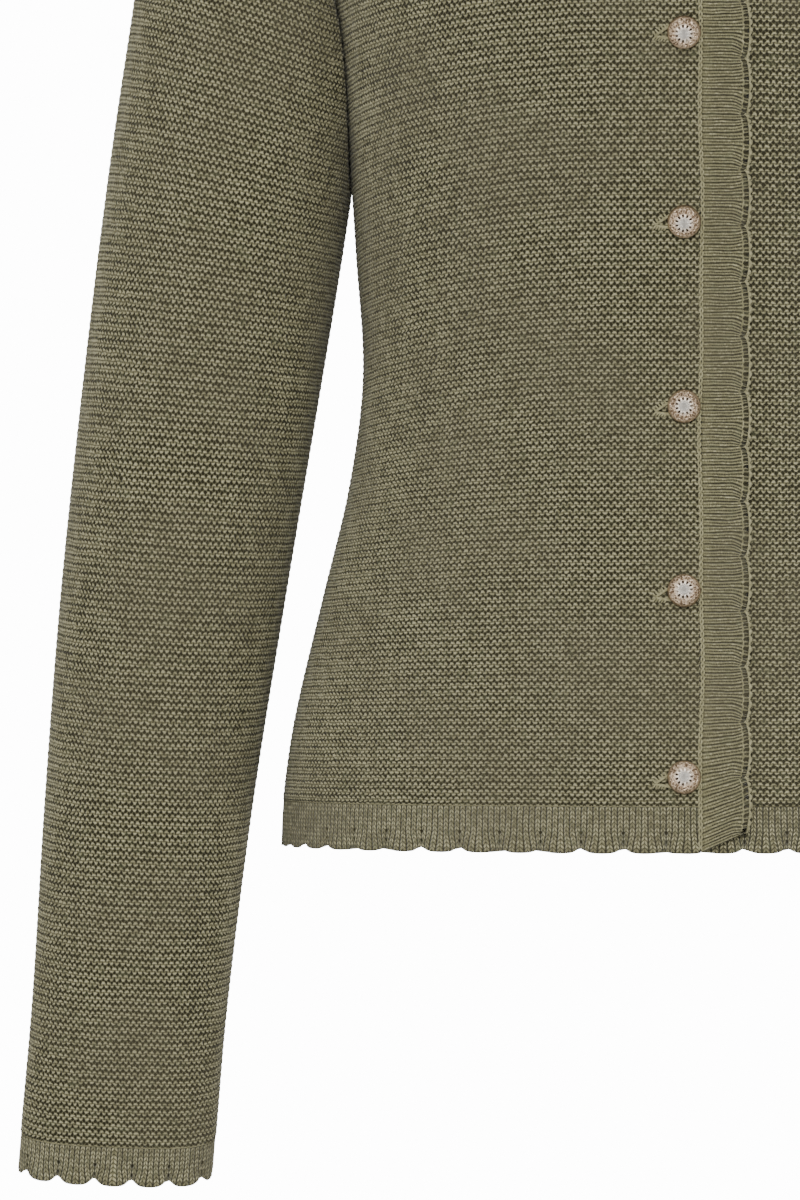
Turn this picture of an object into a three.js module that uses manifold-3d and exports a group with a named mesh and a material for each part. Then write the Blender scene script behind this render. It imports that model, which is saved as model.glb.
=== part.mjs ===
// Women's trachten cardigan in garter stitch, in the hollow form that it has when it is worn.
// Millimetres, +Z up, -Y in front, +X on the wearer's left. The origin is the middle of the neck
// opening, level with the high points of the shoulders.
import * as THREE from 'three';
import { mergeVertices } from 'three/addons/utils/BufferGeometryUtils.js';
import Module from 'manifold-3d';

// Cloth and seams
const GARTER_WALL = 2.2;
const TRIM_WALL = 1.6;
const SEAM_GAP = 0.3;
const EDGE_GAP = 0.35;

// Heights of the body
const HEM_Z = -570;
const BORDER_HEIGHT = 17.8;
const HEM_SEAM_Z = HEM_Z + BORDER_HEIGHT;
const ARMPIT_Z = -229;
const NECK_POINT = { x: 72, z: -8 };
const NECK_BACK_Z = -22;
const NECK_FRONT_POWER = 2.3;
const NECK_BACK_POWER = 2.6;
const NECK_CROWDING = 1.6;
const SHOULDER_SLOPE = 0.3;
const SHOULDER_TIP_X = 185;
const SHOULDER_TIP_Z = NECK_POINT.z - (SHOULDER_TIP_X - NECK_POINT.x) * SHOULDER_SLOPE;
const SHOULDER_ROUND = 45;

// Armhole and cross section
const SECTION_POWER = 2.2;
const ARMHOLE_HEIGHT = SHOULDER_TIP_Z - ARMPIT_Z;
const ARMHOLE_CURVE = 1.3;
const ARMHOLE_REACH = 0.56;

// Front closure: the right front laps over the left one
const FRONT_EDGE = 6.2;
const LAP_LIFT = 3.2;
const LAP_FULL_WITHIN = 32;
const LAP_NONE_BEYOND = 60;
const TRIM_WIDTH = 18.9;
const TRIM_SCALLOP = 20.75;
const TRIM_SCALLOP_COUNT = 23;
const TRIM_NOTCH = 2.1;
const TRIM_END_Z = -561.9;
const TRIM_END_DROP = 7.6;
const TRIM_END_ROWS = 10;
const TRIM_TOP_Z = TRIM_END_Z + TRIM_SCALLOP_COUNT * TRIM_SCALLOP;
const NECK_TRIM_HEIGHT = 17.8;
const NECK_TRIM_STRAIGHT = 28;
const NECK_FRONT_Z = TRIM_TOP_Z - NECK_TRIM_HEIGHT;

// Scalloped hem and cuffs
const SCALLOP_STEPS = 4;
// Points along which the length of a hem or a cuff is measured
const HEM_MARKS = 200;
const CUFF_MARKS = 400;
const HEM_NOTCH = 2;
const HEM_SCALLOPS_FRONT = 14;
const HEM_FIRST_SCALLOP = 0.2;
const HEM_SCALLOPS_BACK = 28;
const CUFF_SCALLOPS = 14;
const CUFF_NOTCH = 2.8;
const CUFF_SEAM_Z = -681;
const CUFF_BORDER_HEIGHT = 14.8;

// Buttons
const BUTTON_COUNT = 7;
const BUTTON_PITCH = 70.1;
const BUTTON_LOWEST_Z = -541.5;
const BUTTON_RADIUS = 6.35;
const BUTTON_RISE = 4.6;
const SHANK_RADIUS = 1.3;
const BUTTON_SIDES = 12;
const BUTTONHOLE_END = 11.5;
const BUTTONHOLE_SAG = 3.8;
const BUTTONHOLE_END_HALF = 0.6;

// Steps of the panels
const FRONT_COLUMNS = 14;
const FRONT_NECK_COLUMNS = 8;
const BACK_COLUMNS = 24;
const BACK_SHOULDER_COLUMNS = 6;
const LOWER_ROWS = 15;
const ARMHOLE_ROWS = 10;
const SLEEVE_CAP_ROWS = 6;
const SLEEVE_TUBE_ROWS = 17;
const BICEP_Z = -262;
const BODY_CLEARANCE = 1.2;
const SEAM_TURN = 1.6;
const CAP_LEAVE = 0.2;
const CAP_ARRIVE = 0.35;
const CAP_STEP = 10;

const torsoSections = namedRows(['z', 'halfWidth', 'front', 'back', 'middle'], [
  [-575, 157.2, 112, 118, 0],
  [-551, 156, 111, 116, 0],
  [-520, 151.5, 108, 111, 0],
  [-473, 140.5, 102, 102, 0],
  [-430, 130.3, 98, 95, 0],
  [-387, 125, 98, 91, 0],
  [-340, 127.7, 104, 93, 0],
  [-300, 130.4, 114, 98, 0],
  [-275, 132.6, 119.5, 101.5, 0],
  [-250, 135.9, 125, 104.3, 0],
  [-229, 141.3, 125.5, 105.5, 0],
  [-190, 151, 117, 107, 0],
  [-150, 151, 101, 104, 1],
  [-106, 151, 80, 96, 2.5],
  [-60, 151, 58, 78, 4],
  [-30, 151, 46, 60, 5],
  [-8, 151, 40, 48, 5],
]);

const sleeveSections = namedRows(['z', 'x', 'y', 'width', 'depth', 'power', 'lean', 'dip'], [
  [-262, 170, 0, 95, 108, 2.2, 17, 0],
  [-318.5, 178, 0, 94.8, 106, 2.2, 11, 0],
  [-396.5, 189, -1, 91.7, 100, 2.2, 5, 1],
  [-474.5, 199.5, -3, 87, 92, 2.2, 3.5, 3],
  [-552.5, 208.5, -6, 80.7, 80, 2.3, 3, 5],
  [-630.5, 215.7, -9, 75.7, 58, 2.6, 2.5, 8],
  [-681, 220, -11, 75.7, 42, 3, 2.1, 14],
  [-699, 221.4, -12, 75.9, 40, 3, 2.1, 17],
]);

const halfWidthAt = smoothColumn(torsoSections, 'halfWidth');
const frontDepthAt = smoothColumn(torsoSections, 'front');
const backDepthAt = smoothColumn(torsoSections, 'back');
const middleAt = smoothColumn(torsoSections, 'middle');

const wasm = await Module();
wasm.setup();

const garterCloth = new THREE.MeshStandardMaterial({ color: 0x716b54, roughness: 0.95, metalness: 0 });
const borderCloth = new THREE.MeshStandardMaterial({ color: 0x777159, roughness: 0.95, metalness: 0 });
const buttonMetal = new THREE.MeshStandardMaterial({ color: 0xc9b9a4, roughness: 0.35, metalness: 1 });

// Small helpers
function namedRows(names, rows) {
  return rows.map((row) => Object.fromEntries(names.map((name, i) => [name, row[i]])));
}

function lerp(a, b, t) {
  return a + (b - a) * t;
}

function clamp01(t) {
  return Math.min(1, Math.max(0, t));
}

function smoothStep(t) {
  const s = clamp01(t);
  return s * s * (3 - 2 * s);
}

function signedPower(value, power) {
  return Math.sign(value) * Math.abs(value) ** power;
}

function radians(degrees) {
  return (degrees * Math.PI) / 180;
}

// A smooth curve through one column of a table, as a function of z
function smoothColumn(table, name) {
  const rows = [...table].sort((a, b) => a.z - b.z);
  const slopes = rows.map((row, i) => {
    const before = rows[Math.max(0, i - 1)];
    const after = rows[Math.min(rows.length - 1, i + 1)];
    return (after[name] - before[name]) / (after.z - before.z);
  });
  return (z) => {
    let i = 0;
    while (i < rows.length - 2 && z > rows[i + 1].z) {
      i += 1;
    }
    const span = rows[i + 1].z - rows[i].z;
    const t = clamp01((z - rows[i].z) / span);
    const startShare = (1 + 2 * t) * (1 - t) ** 2;
    const startSlope = t * (1 - t) ** 2 * span * slopes[i];
    const endSlope = t * t * (t - 1) * span * slopes[i + 1];
    return startShare * rows[i][name] + startSlope + (1 - startShare) * rows[i + 1][name] + endSlope;
  };
}

// The body's surface, as a depth over its front view
function armholeX(z) {
  const rise = clamp01((z - ARMPIT_Z) / ARMHOLE_HEIGHT);
  const armpitX = halfWidthAt(ARMPIT_Z);
  return armpitX + (SHOULDER_TIP_X - armpitX) * rise ** ARMHOLE_CURVE;
}

function outlineHalfWidth(z) {
  if (z <= ARMPIT_Z) {
    return halfWidthAt(z);
  }
  const rise = clamp01((z - ARMPIT_Z) / ARMHOLE_HEIGHT);
  const turn = Math.min(Math.acos(1 - 2 * rise), Math.PI / 2);
  const reach = ARMHOLE_REACH * Math.sin(turn);
  return armholeX(z) / (1 - reach ** SECTION_POWER) ** (1 / SECTION_POWER);
}

function shoulderZ(x) {
  return NECK_POINT.z - Math.max(0, Math.abs(x) - NECK_POINT.x) * SHOULDER_SLOPE;
}

function torsoPoint(x, z, facing) {
  const depth = facing < 0 ? frontDepthAt(z) : backDepthAt(z);
  const across = Math.min(1, Math.abs(x) / outlineHalfWidth(z));
  const share = (1 - across ** SECTION_POWER) ** (1 / SECTION_POWER);
  const below = clamp01((shoulderZ(x) - z) / SHOULDER_ROUND);
  const over = Math.sqrt(below * (2 - below));
  return new THREE.Vector3(x, middleAt(z) + facing * depth * share * over, z);
}

// The left front as it lies; with lift it is the mirror image of the right front that laps over
function frontPoint(x, z, lift) {
  const point = torsoPoint(x, z, -1);
  const near = (LAP_NONE_BEYOND - x) / (LAP_NONE_BEYOND - LAP_FULL_WITHIN);
  point.y -= lift * smoothStep(near) + SEAM_GAP / 2;
  return point;
}

function backPoint(x, z) {
  const point = torsoPoint(x, z, 1);
  point.y += SEAM_GAP / 2;
  return point;
}

// x across a level row, from one section angle to another
function sectionX(z, angle) {
  return outlineHalfWidth(z) * signedPower(Math.sin(angle), 2 / SECTION_POWER);
}

function sectionAngle(z, x) {
  return Math.asin(signedPower(x / outlineHalfWidth(z), SECTION_POWER / 2));
}

// Rows of front-view points between four edges, each given as a list of points
function blendEdges(bottom, top, left, right) {
  const columns = bottom.length - 1;
  const rows = left.length - 1;
  const mix = (key, r, c) => {
    const u = c / columns;
    const v = r / rows;
    const upward = lerp(bottom[c][key], top[c][key], v);
    const sideward = lerp(left[r][key], right[r][key], u);
    const low = lerp(bottom[0][key], bottom[columns][key], u);
    const high = lerp(top[0][key], top[columns][key], u);
    return upward + sideward - lerp(low, high, v);
  };
  return left.map((_, r) => bottom.map((__, c) => ({ x: mix('x', r, c), z: mix('z', r, c) })));
}

function span(steps, make) {
  return Array.from({ length: steps + 1 }, (_, i) => make(i / steps, i));
}

function armholeRowZ(share) {
  return ARMPIT_Z + (ARMHOLE_HEIGHT * (1 - Math.cos(Math.PI * share))) / 2;
}

// Shares from 0 to 1 that crowd together towards 1, where the neckline crosses the shoulder
function closerAtEnd(share) {
  return 1 - (1 - share) ** NECK_CROWDING;
}

function neckCurve(turn, depthZ, power) {
  return {
    x: NECK_POINT.x * signedPower(Math.sin(turn), 2 / power),
    z: NECK_POINT.z + (depthZ - NECK_POINT.z) * Math.cos(turn) ** (2 / power),
  };
}

function shoulderPoint(share) {
  const x = lerp(NECK_POINT.x, SHOULDER_TIP_X, share);
  return { x, z: shoulderZ(x) };
}

// Grids: rows run upwards, columns run to the right as seen from outside
function frontGrid(lift) {
  const rowAt = (z) => span(FRONT_COLUMNS, (u) => {
    const angle = lerp(sectionAngle(z, -FRONT_EDGE), Math.PI / 2, u);
    return { x: sectionX(z, angle), z };
  });
  const lower = span(LOWER_ROWS, (v) => rowAt(lerp(HEM_SEAM_Z + SEAM_GAP / 2, ARMPIT_Z, v)));
  const top = span(FRONT_COLUMNS, (_, c) => {
    if (c === 0) {
      return { x: -FRONT_EDGE, z: NECK_FRONT_Z };
    }
    if (c <= FRONT_NECK_COLUMNS) {
      const share = closerAtEnd((c - 0.5) / (FRONT_NECK_COLUMNS - 0.5));
      return neckCurve((share * Math.PI) / 2, NECK_FRONT_Z, NECK_FRONT_POWER);
    }
    return shoulderPoint((c - FRONT_NECK_COLUMNS) / (FRONT_COLUMNS - FRONT_NECK_COLUMNS));
  });
  const centre = span(ARMHOLE_ROWS, (v) => {
    const eased = (1 - Math.cos(Math.PI * v)) / 2;
    return { x: -FRONT_EDGE, z: lerp(ARMPIT_Z, NECK_FRONT_Z, eased) };
  });
  const armhole = span(ARMHOLE_ROWS, (v) => ({ x: armholeX(armholeRowZ(v)), z: armholeRowZ(v) }));
  const upper = blendEdges(lower[LOWER_ROWS], top, centre, armhole);
  return [...lower, ...upper.slice(1)].map((row) => row.map(({ x, z }) => frontPoint(x, z, lift)));
}

function backGrid() {
  const rowAt = (z) => span(BACK_COLUMNS, (u) => ({ x: sectionX(z, lerp(0.5, -0.5, u) * Math.PI), z }));
  const lower = span(LOWER_ROWS, (v) => rowAt(lerp(HEM_SEAM_Z + SEAM_GAP / 2, ARMPIT_Z, v)));
  const neckColumns = BACK_COLUMNS - 2 * BACK_SHOULDER_COLUMNS;
  const top = span(BACK_COLUMNS, (_, c) => {
    const fromEdge = Math.min(c, BACK_COLUMNS - c);
    const side = c <= BACK_COLUMNS / 2 ? 1 : -1;
    if (fromEdge <= BACK_SHOULDER_COLUMNS) {
      const point = shoulderPoint(1 - fromEdge / BACK_SHOULDER_COLUMNS);
      return { x: side * point.x, z: point.z };
    }
    const share = 1 - (2 * (c - BACK_SHOULDER_COLUMNS)) / neckColumns;
    const turn = (Math.sign(share) * closerAtEnd(Math.abs(share)) * Math.PI) / 2;
    return neckCurve(turn, NECK_BACK_Z, NECK_BACK_POWER);
  });
  const edge = (side) => span(ARMHOLE_ROWS, (v) => {
    const z = armholeRowZ(v);
    return { x: side * armholeX(z), z };
  });
  const upper = blendEdges(lower[LOWER_ROWS], top, edge(1), edge(-1));
  return [...lower, ...upper.slice(1)].map((row) => row.map(({ x, z }) => backPoint(x, z)));
}

function mirrored(grid) {
  return grid.map((row) => row.map((point) => new THREE.Vector3(-point.x, point.y, point.z)).reverse());
}

// Outward directions of a grid; across a closed grid the columns run on past the last one
function gridNormals(grid, closed = false) {
  const lastRow = grid.length - 1;
  const columns = grid[0].length;
  const columnAt = (c) => (closed ? (c + columns) % columns : Math.min(columns - 1, Math.max(0, c)));
  return grid.map((row, r) => row.map((_, c) => {
    const along = row[columnAt(c + 1)].clone().sub(row[columnAt(c - 1)]);
    const up = grid[Math.min(lastRow, r + 1)][c].clone().sub(grid[Math.max(0, r - 1)][c]);
    return along.cross(up).normalize();
  }));
}

// On a seam that lies in the plane between front and back, the direction stays in that plane
function flattenSeam(normal) {
  normal.y = 0;
  normal.normalize();
}

function panelNormals(grid, seamColumns, seamTopColumns) {
  const normals = gridNormals(grid);
  for (const c of seamColumns) {
    for (let r = 0; r <= LOWER_ROWS; r += 1) {
      flattenSeam(normals[r][c]);
    }
  }
  for (const c of seamTopColumns) {
    flattenSeam(normals[grid.length - 1][c]);
  }
  return normals;
}

// A wall of cloth: the grid is its outer face, and the inner face lies one wall behind it
function clothWall(grid, normals, wall, closed = false) {
  const rows = grid.length;
  const columns = grid[0].length;
  const points = [0, wall].flatMap((depth) => grid.flatMap((row, r) => row.map((point, c) => (
    point.clone().addScaledVector(normals[r][c], -depth)
  ))));
  const outer = (r, c) => r * columns + (c % columns);
  const inner = (r, c) => rows * columns + outer(r, c);
  const indices = [];
  const quad = (a, b, c, d) => {
    if (points[a].distanceTo(points[c]) <= points[b].distanceTo(points[d])) {
      indices.push(a, b, c, a, c, d);
    } else {
      indices.push(b, c, d, b, d, a);
    }
  };
  const steps = closed ? columns : columns - 1;
  for (let r = 0; r < rows - 1; r += 1) {
    for (let c = 0; c < steps; c += 1) {
      quad(outer(r, c), outer(r, c + 1), outer(r + 1, c + 1), outer(r + 1, c));
      quad(inner(r, c), inner(r + 1, c), inner(r + 1, c + 1), inner(r, c + 1));
    }
  }
  for (let c = 0; c < steps; c += 1) {
    quad(outer(0, c + 1), outer(0, c), inner(0, c), inner(0, c + 1));
    quad(outer(rows - 1, c), outer(rows - 1, c + 1), inner(rows - 1, c + 1), inner(rows - 1, c));
  }
  if (!closed) {
    const last = columns - 1;
    for (let r = 0; r < rows - 1; r += 1) {
      quad(outer(r, 0), outer(r + 1, 0), inner(r + 1, 0), inner(r, 0));
      quad(outer(r + 1, last), outer(r, last), inner(r, last), inner(r + 1, last));
    }
  }
  const positions = points.flatMap((point) => point.toArray());
  const geometry = new THREE.BufferGeometry();
  geometry.setAttribute('position', new THREE.Float32BufferAttribute(positions, 3));
  geometry.setIndex(indices);
  return geometry;
}

// Scallops: how far the edge draws back at a place counted in scallops, most at each whole number
function notchAt(place, depth) {
  return depth * (1 - Math.abs(Math.sin(Math.PI * place)));
}

function scallopPlaces(first, last) {
  const places = [first];
  for (let k = Math.floor(first * SCALLOP_STEPS) + 1; k < last * SCALLOP_STEPS; k += 1) {
    places.push(k / SCALLOP_STEPS);
  }
  places.push(last);
  return places;
}

// A list of points at equal lengths along a polyline, with whatever value rides on each point
function alongPath(points, values, shares) {
  const lengths = [0];
  for (let i = 1; i < points.length; i += 1) {
    lengths.push(lengths[i - 1] + points[i].distanceTo(points[i - 1]));
  }
  const total = lengths[lengths.length - 1];
  return shares.map((share) => {
    let i = 1;
    while (i < points.length - 1 && lengths[i] < share * total) {
      i += 1;
    }
    const t = (share * total - lengths[i - 1]) / (lengths[i] - lengths[i - 1]);
    return {
      point: points[i - 1].clone().lerp(points[i], t),
      normal: values[i - 1].clone().lerp(values[i], t).normalize(),
    };
  });
}

// The value that goes with the path's point at each share of its length
function valuesAlong(path, values, shares) {
  const marks = values.map((value) => new THREE.Vector3(value, 1, 0));
  return alongPath(path, marks, shares).map(({ normal }) => normal.x / normal.y);
}

function hemGrid(surface, angles, places) {
  const topZ = HEM_SEAM_Z - SEAM_GAP / 2;
  const fineAngles = span(HEM_MARKS, (t) => lerp(angles.first, angles.last, t));
  const path = fineAngles.map((angle) => surface(sectionX(HEM_Z, angle), HEM_Z));
  const length = places[places.length - 1] - places[0];
  const columnAngles = valuesAlong(path, fineAngles, places.map((place) => (place - places[0]) / length));
  const rowAt = (zOf) => columnAngles.map((angle, i) => {
    const z = zOf(places[i]);
    return surface(sectionX(z, angle), z);
  });
  return [rowAt((place) => HEM_Z + notchAt(place, HEM_NOTCH)), rowAt(() => topZ)];
}

function frontHemGrid(lift) {
  const angles = { first: sectionAngle(HEM_Z, -FRONT_EDGE), last: Math.PI / 2 };
  const places = scallopPlaces(HEM_FIRST_SCALLOP, HEM_SCALLOPS_FRONT);
  return hemGrid((x, z) => frontPoint(x, z, lift), angles, places);
}

function backHemGrid() {
  const angles = { first: Math.PI / 2, last: -Math.PI / 2 };
  return hemGrid(backPoint, angles, scallopPlaces(0, HEM_SCALLOPS_BACK));
}

function hemBorder(grid, seamColumns) {
  const normals = gridNormals(grid);
  for (const c of seamColumns) {
    normals.forEach((row) => flattenSeam(row[c]));
  }
  return clothWall(grid, normals, TRIM_WALL);
}

// The trim of the left front, from its seam out past the closure; its lower end slants up outwards
function frontTrimGrid(lift) {
  const steps = TRIM_SCALLOP_COUNT * SCALLOP_STEPS;
  return span(steps, (_, r) => {
    const place = r / SCALLOP_STEPS;
    const edgeZ = TRIM_END_Z + place * TRIM_SCALLOP;
    const seamZ = edgeZ - TRIM_END_DROP * smoothStep(1 - r / TRIM_END_ROWS);
    const seamX = -FRONT_EDGE - SEAM_GAP;
    const edgeX = seamX - TRIM_WIDTH + notchAt(place, TRIM_NOTCH);
    return [frontPoint(edgeX, edgeZ, lift), frontPoint(seamX, seamZ, lift)];
  });
}

// The neck trim: one band from the left front's edge, round the back, to the right front's edge
function neckTrimSolid(leftFront, back, rightFront) {
  const topOf = ({ grid, normals }, from, to) => ({
    points: grid[grid.length - 1].slice(from, to),
    normals: normals[normals.length - 1].slice(from, to),
  });
  const parts = [
    topOf(leftFront, 0, FRONT_NECK_COLUMNS),
    topOf(back, BACK_SHOULDER_COLUMNS, BACK_COLUMNS - BACK_SHOULDER_COLUMNS + 1),
    topOf(rightFront, FRONT_COLUMNS - FRONT_NECK_COLUMNS + 1, FRONT_COLUMNS + 1),
  ];
  const path = parts.flatMap((part) => part.points);
  const pathNormals = parts.flatMap((part) => part.normals);
  let length = 0;
  for (let i = 1; i < path.length; i += 1) {
    length += path[i].distanceTo(path[i - 1]);
  }
  const count = Math.round(length / TRIM_SCALLOP);
  const places = scallopPlaces(0, count);
  const stops = alongPath(path, pathNormals, places.map((place) => place / count));
  const base = [];
  const edge = [];
  stops.forEach(({ point }, i) => {
    const direction = neckTrimDirection(point);
    base.push(point.clone().addScaledVector(direction, EDGE_GAP));
    edge.push(point.clone().addScaledVector(direction, NECK_TRIM_HEIGHT - notchAt(places[i], TRIM_NOTCH)));
  });
  const grid = [base, edge];
  const normals = gridNormals(grid);
  normals[0] = stops.map(({ normal }) => normal);
  return clothWall(grid, normals, TRIM_WALL);
}

function neckTrimDirection(point) {
  const atShoulder = new THREE.Vector3(-Math.sign(point.x) * 0.85, 0, 0.53).normalize();
  if (point.y > middleAt(NECK_POINT.z)) {
    const atBack = new THREE.Vector3(0, -0.35, 0.94).normalize();
    return atBack.lerp(atShoulder, smoothStep(Math.abs(point.x) / NECK_POINT.x)).normalize();
  }
  const lower = torsoPoint(point.x, NECK_FRONT_Z, -1);
  const upper = torsoPoint(point.x, TRIM_TOP_Z, -1);
  const atFront = upper.sub(lower).normalize();
  const share = (Math.abs(point.x) - NECK_TRIM_STRAIGHT) / (NECK_POINT.x - NECK_TRIM_STRAIGHT);
  return atFront.lerp(atShoulder, smoothStep(share)).normalize();
}

// The left sleeve. A ring's turn is 0 next to the body, a quarter in front, a half on the outside
const sleeveColumns = {};
for (const name of ['x', 'y', 'width', 'depth', 'power', 'lean', 'dip']) {
  sleeveColumns[name] = smoothColumn(sleeveSections, name);
}

function sleeveRingPoint(z, turn) {
  const at = Object.fromEntries(Object.entries(sleeveColumns).map(([name, of]) => [name, of(z)]));
  const across = (-signedPower(Math.cos(turn), 2 / at.power) * at.width) / 2;
  const forward = (-signedPower(Math.sin(turn), 2 / at.power) * at.depth) / 2;
  const lean = radians(at.lean);
  const dip = radians(at.dip);
  const point = new THREE.Vector3(
    at.x + across * Math.cos(lean),
    at.y + forward * Math.cos(dip),
    z + across * Math.sin(lean) + forward * Math.sin(dip),
  );
  return clearOfBody(point);
}

// A point of the sleeve beside the body, moved out until it is clear of the body's side
function clearOfBody(point) {
  if (point.z > ARMPIT_Z) {
    return point;
  }
  const depth = point.y < 0 ? frontDepthAt(point.z) : backDepthAt(point.z);
  const along = Math.min(1, Math.abs(point.y) / depth);
  const bodyX = outlineHalfWidth(point.z) * (1 - along ** SECTION_POWER) ** (1 / SECTION_POWER);
  point.x = Math.max(point.x, bodyX + BODY_CLEARANCE);
  return point;
}

// The armhole's loop in the ring's order, with the panels' own outward directions
function armholeLoop(front, back) {
  const frontEdge = FRONT_COLUMNS;
  const backEdge = 0;
  const loop = [];
  for (let k = 0; k <= ARMHOLE_ROWS; k += 1) {
    const r = LOWER_ROWS + k;
    loop.push({ point: front.grid[r][frontEdge].clone(), normal: front.normals[r][frontEdge].clone() });
  }
  for (let k = ARMHOLE_ROWS - 1; k > 0; k -= 1) {
    const r = LOWER_ROWS + k;
    loop.push({ point: back.grid[r][backEdge].clone(), normal: back.normals[r][backEdge].clone() });
  }
  for (const k of [0, ARMHOLE_ROWS]) {
    loop[k].point.y += SEAM_GAP / 2;
  }
  return loop;
}

function sleeveSolid(front, back, side) {
  const loop = armholeLoop(front, back);
  const columns = loop.length;
  const outward = loop.map(({ normal }, c) => {
    const after = loop[(c + 1) % columns].point;
    const before = loop[(c + columns - 1) % columns].point;
    return after.clone().sub(before).cross(normal).normalize();
  });
  const offset = (distance) => loop.map(({ point }, c) => (
    point.clone().addScaledVector(outward[c], distance)
  ));
  const start = offset(EDGE_GAP);
  const turnRow = offset(EDGE_GAP + SEAM_TURN);
  const capCurves = start.map((from, c) => {
    const turn = (2 * Math.PI * c) / columns;
    const to = sleeveRingPoint(BICEP_Z, turn);
    const upward = to.clone().sub(sleeveRingPoint(BICEP_Z - CAP_STEP, turn)).normalize();
    const reach = to.clone().sub(from);
    const open = (1 + outward[c].dot(reach.clone().normalize())) / 2;
    const leave = from.clone().addScaledVector(outward[c], CAP_LEAVE * open * reach.length());
    leave.x = Math.max(leave.x, from.x + BODY_CLEARANCE);
    const arrive = to.clone().addScaledVector(upward, CAP_ARRIVE * reach.length());
    return new THREE.CubicBezierCurve3(from, leave, arrive, to);
  });
  const capRow = (t) => capCurves.map((curve) => clearOfBody(curve.getPoint(t)));
  const capRows = span(SLEEVE_CAP_ROWS, (t) => t).slice(1).map(capRow);
  const tubeRows = span(SLEEVE_TUBE_ROWS, (t) => lerp(BICEP_Z, CUFF_SEAM_Z, t)).slice(1).map((z) => (
    loop.map((_, c) => sleeveRingPoint(z, (2 * Math.PI * c) / columns))
  ));
  const grid = [start, turnRow, ...capRows, ...tubeRows].reverse();
  const normals = gridNormals(grid, true);
  const top = grid.length - 1;
  loop.forEach(({ normal }, c) => {
    const below = normals[top - 2][c];
    const sharpness = (1 - normal.dot(below)) / 2;
    normals[top][c] = normal;
    normals[top - 1][c] = normal.clone().add(below).addScaledVector(outward[c], -sharpness).normalize();
  });
  return wallOnSide(grid, normals, GARTER_WALL, side);
}

// A closed ring wall on the wearer's left, or its mirror image on the right
function wallOnSide(grid, normals, wall, side) {
  if (side > 0) {
    return clothWall(grid, normals, wall, true);
  }
  return clothWall(mirrored(grid), mirrored(normals), wall, true);
}

function cuffSolid(side) {
  const columns = CUFF_SCALLOPS * SCALLOP_STEPS;
  const upperZ = CUFF_SEAM_Z - EDGE_GAP;
  const lowerZ = CUFF_SEAM_Z - CUFF_BORDER_HEIGHT;
  const fineTurns = span(CUFF_MARKS, (t) => 2 * Math.PI * t);
  const path = fineTurns.map((turn) => sleeveRingPoint(CUFF_SEAM_Z, turn));
  const turns = valuesAlong(path, fineTurns, span(columns, (t) => t)).slice(0, columns);
  const ring = (zOf) => turns.map((turn, c) => sleeveRingPoint(zOf(c / SCALLOP_STEPS), turn));
  const grid = [ring((place) => lowerZ + notchAt(place, CUFF_NOTCH)), ring(() => upperZ)];
  return wallOnSide(grid, gridNormals(grid, true), TRIM_WALL, side);
}

// Buttonholes: slits beside each shank that slope down away from the front's edge
function solidOf(geometry) {
  const bare = geometry.clone();
  bare.deleteAttribute('normal');
  bare.deleteAttribute('uv');
  const merged = mergeVertices(bare, 1e-4);
  return new wasm.Manifold(new wasm.Mesh({
    numProp: 3,
    vertProperties: new Float32Array(merged.attributes.position.array),
    triVerts: new Uint32Array(merged.index.array),
  }));
}

function geometryOf(solid) {
  const mesh = solid.getMesh();
  const geometry = new THREE.BufferGeometry();
  geometry.setAttribute('position', new THREE.BufferAttribute(mesh.vertProperties, 3));
  geometry.setIndex(new THREE.BufferAttribute(mesh.triVerts, 1));
  return geometry;
}

// Where a button's shank ends: the place on the left front, and the way out of the cloth there
function buttonSeat(index) {
  const z = BUTTON_LOWEST_Z + index * BUTTON_PITCH;
  const step = 2;
  const slope = frontPoint(0, z + step, 0).sub(frontPoint(0, z - step, 0));
  return { place: frontPoint(0, z, 0), outward: new THREE.Vector3(0, -slope.z, slope.y).normalize() };
}

function buttonholeCutter(index) {
  const half = SHANK_RADIUS + SEAM_GAP + 0.1;
  const outline = new THREE.Shape([
    new THREE.Vector2(half, half),
    new THREE.Vector2(-half, half),
    new THREE.Vector2(-BUTTONHOLE_END, -BUTTONHOLE_SAG + BUTTONHOLE_END_HALF),
    new THREE.Vector2(-BUTTONHOLE_END, -BUTTONHOLE_SAG - BUTTONHOLE_END_HALF),
    new THREE.Vector2(half, -half),
  ]);
  const cutter = new THREE.ExtrudeGeometry(outline, { depth: 2 * LAP_LIFT, bevelEnabled: false });
  const { place, outward } = buttonSeat(index);
  const across = new THREE.Vector3(1, 0, 0);
  const upward = outward.clone().cross(across);
  cutter.applyMatrix4(new THREE.Matrix4().makeBasis(across, upward, outward).setPosition(place));
  return cutter;
}

function withButtonholes(geometry) {
  let solid = solidOf(geometry);
  for (let i = 0; i < BUTTON_COUNT; i += 1) {
    solid = solid.subtract(solidOf(buttonholeCutter(i)));
  }
  return geometryOf(solid);
}

// A domed button on its shank, which passes the buttonhole and stands just off the left front
function buttonMesh(index) {
  const back = LAP_LIFT + EDGE_GAP - SEAM_GAP;
  const profile = [
    [0, 0],
    [SHANK_RADIUS, 0],
    [SHANK_RADIUS, back],
    [BUTTON_RADIUS, back],
    [BUTTON_RADIUS * 0.95, back + BUTTON_RISE * 0.38],
    [BUTTON_RADIUS * 0.68, back + BUTTON_RISE * 0.8],
    [0, back + BUTTON_RISE],
  ];
  const geometry = new THREE.LatheGeometry(profile.map(([r, h]) => new THREE.Vector2(r, h)), BUTTON_SIDES);
  const { place, outward } = buttonSeat(index);
  const mesh = new THREE.Mesh(geometry, buttonMetal);
  mesh.name = `button_${index + 1}`;
  mesh.quaternion.setFromUnitVectors(new THREE.Vector3(0, 1, 0), outward);
  mesh.position.copy(place.addScaledVector(outward, SEAM_GAP));
  return mesh;
}

// The garment
const cardigan = new THREE.Group();

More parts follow.
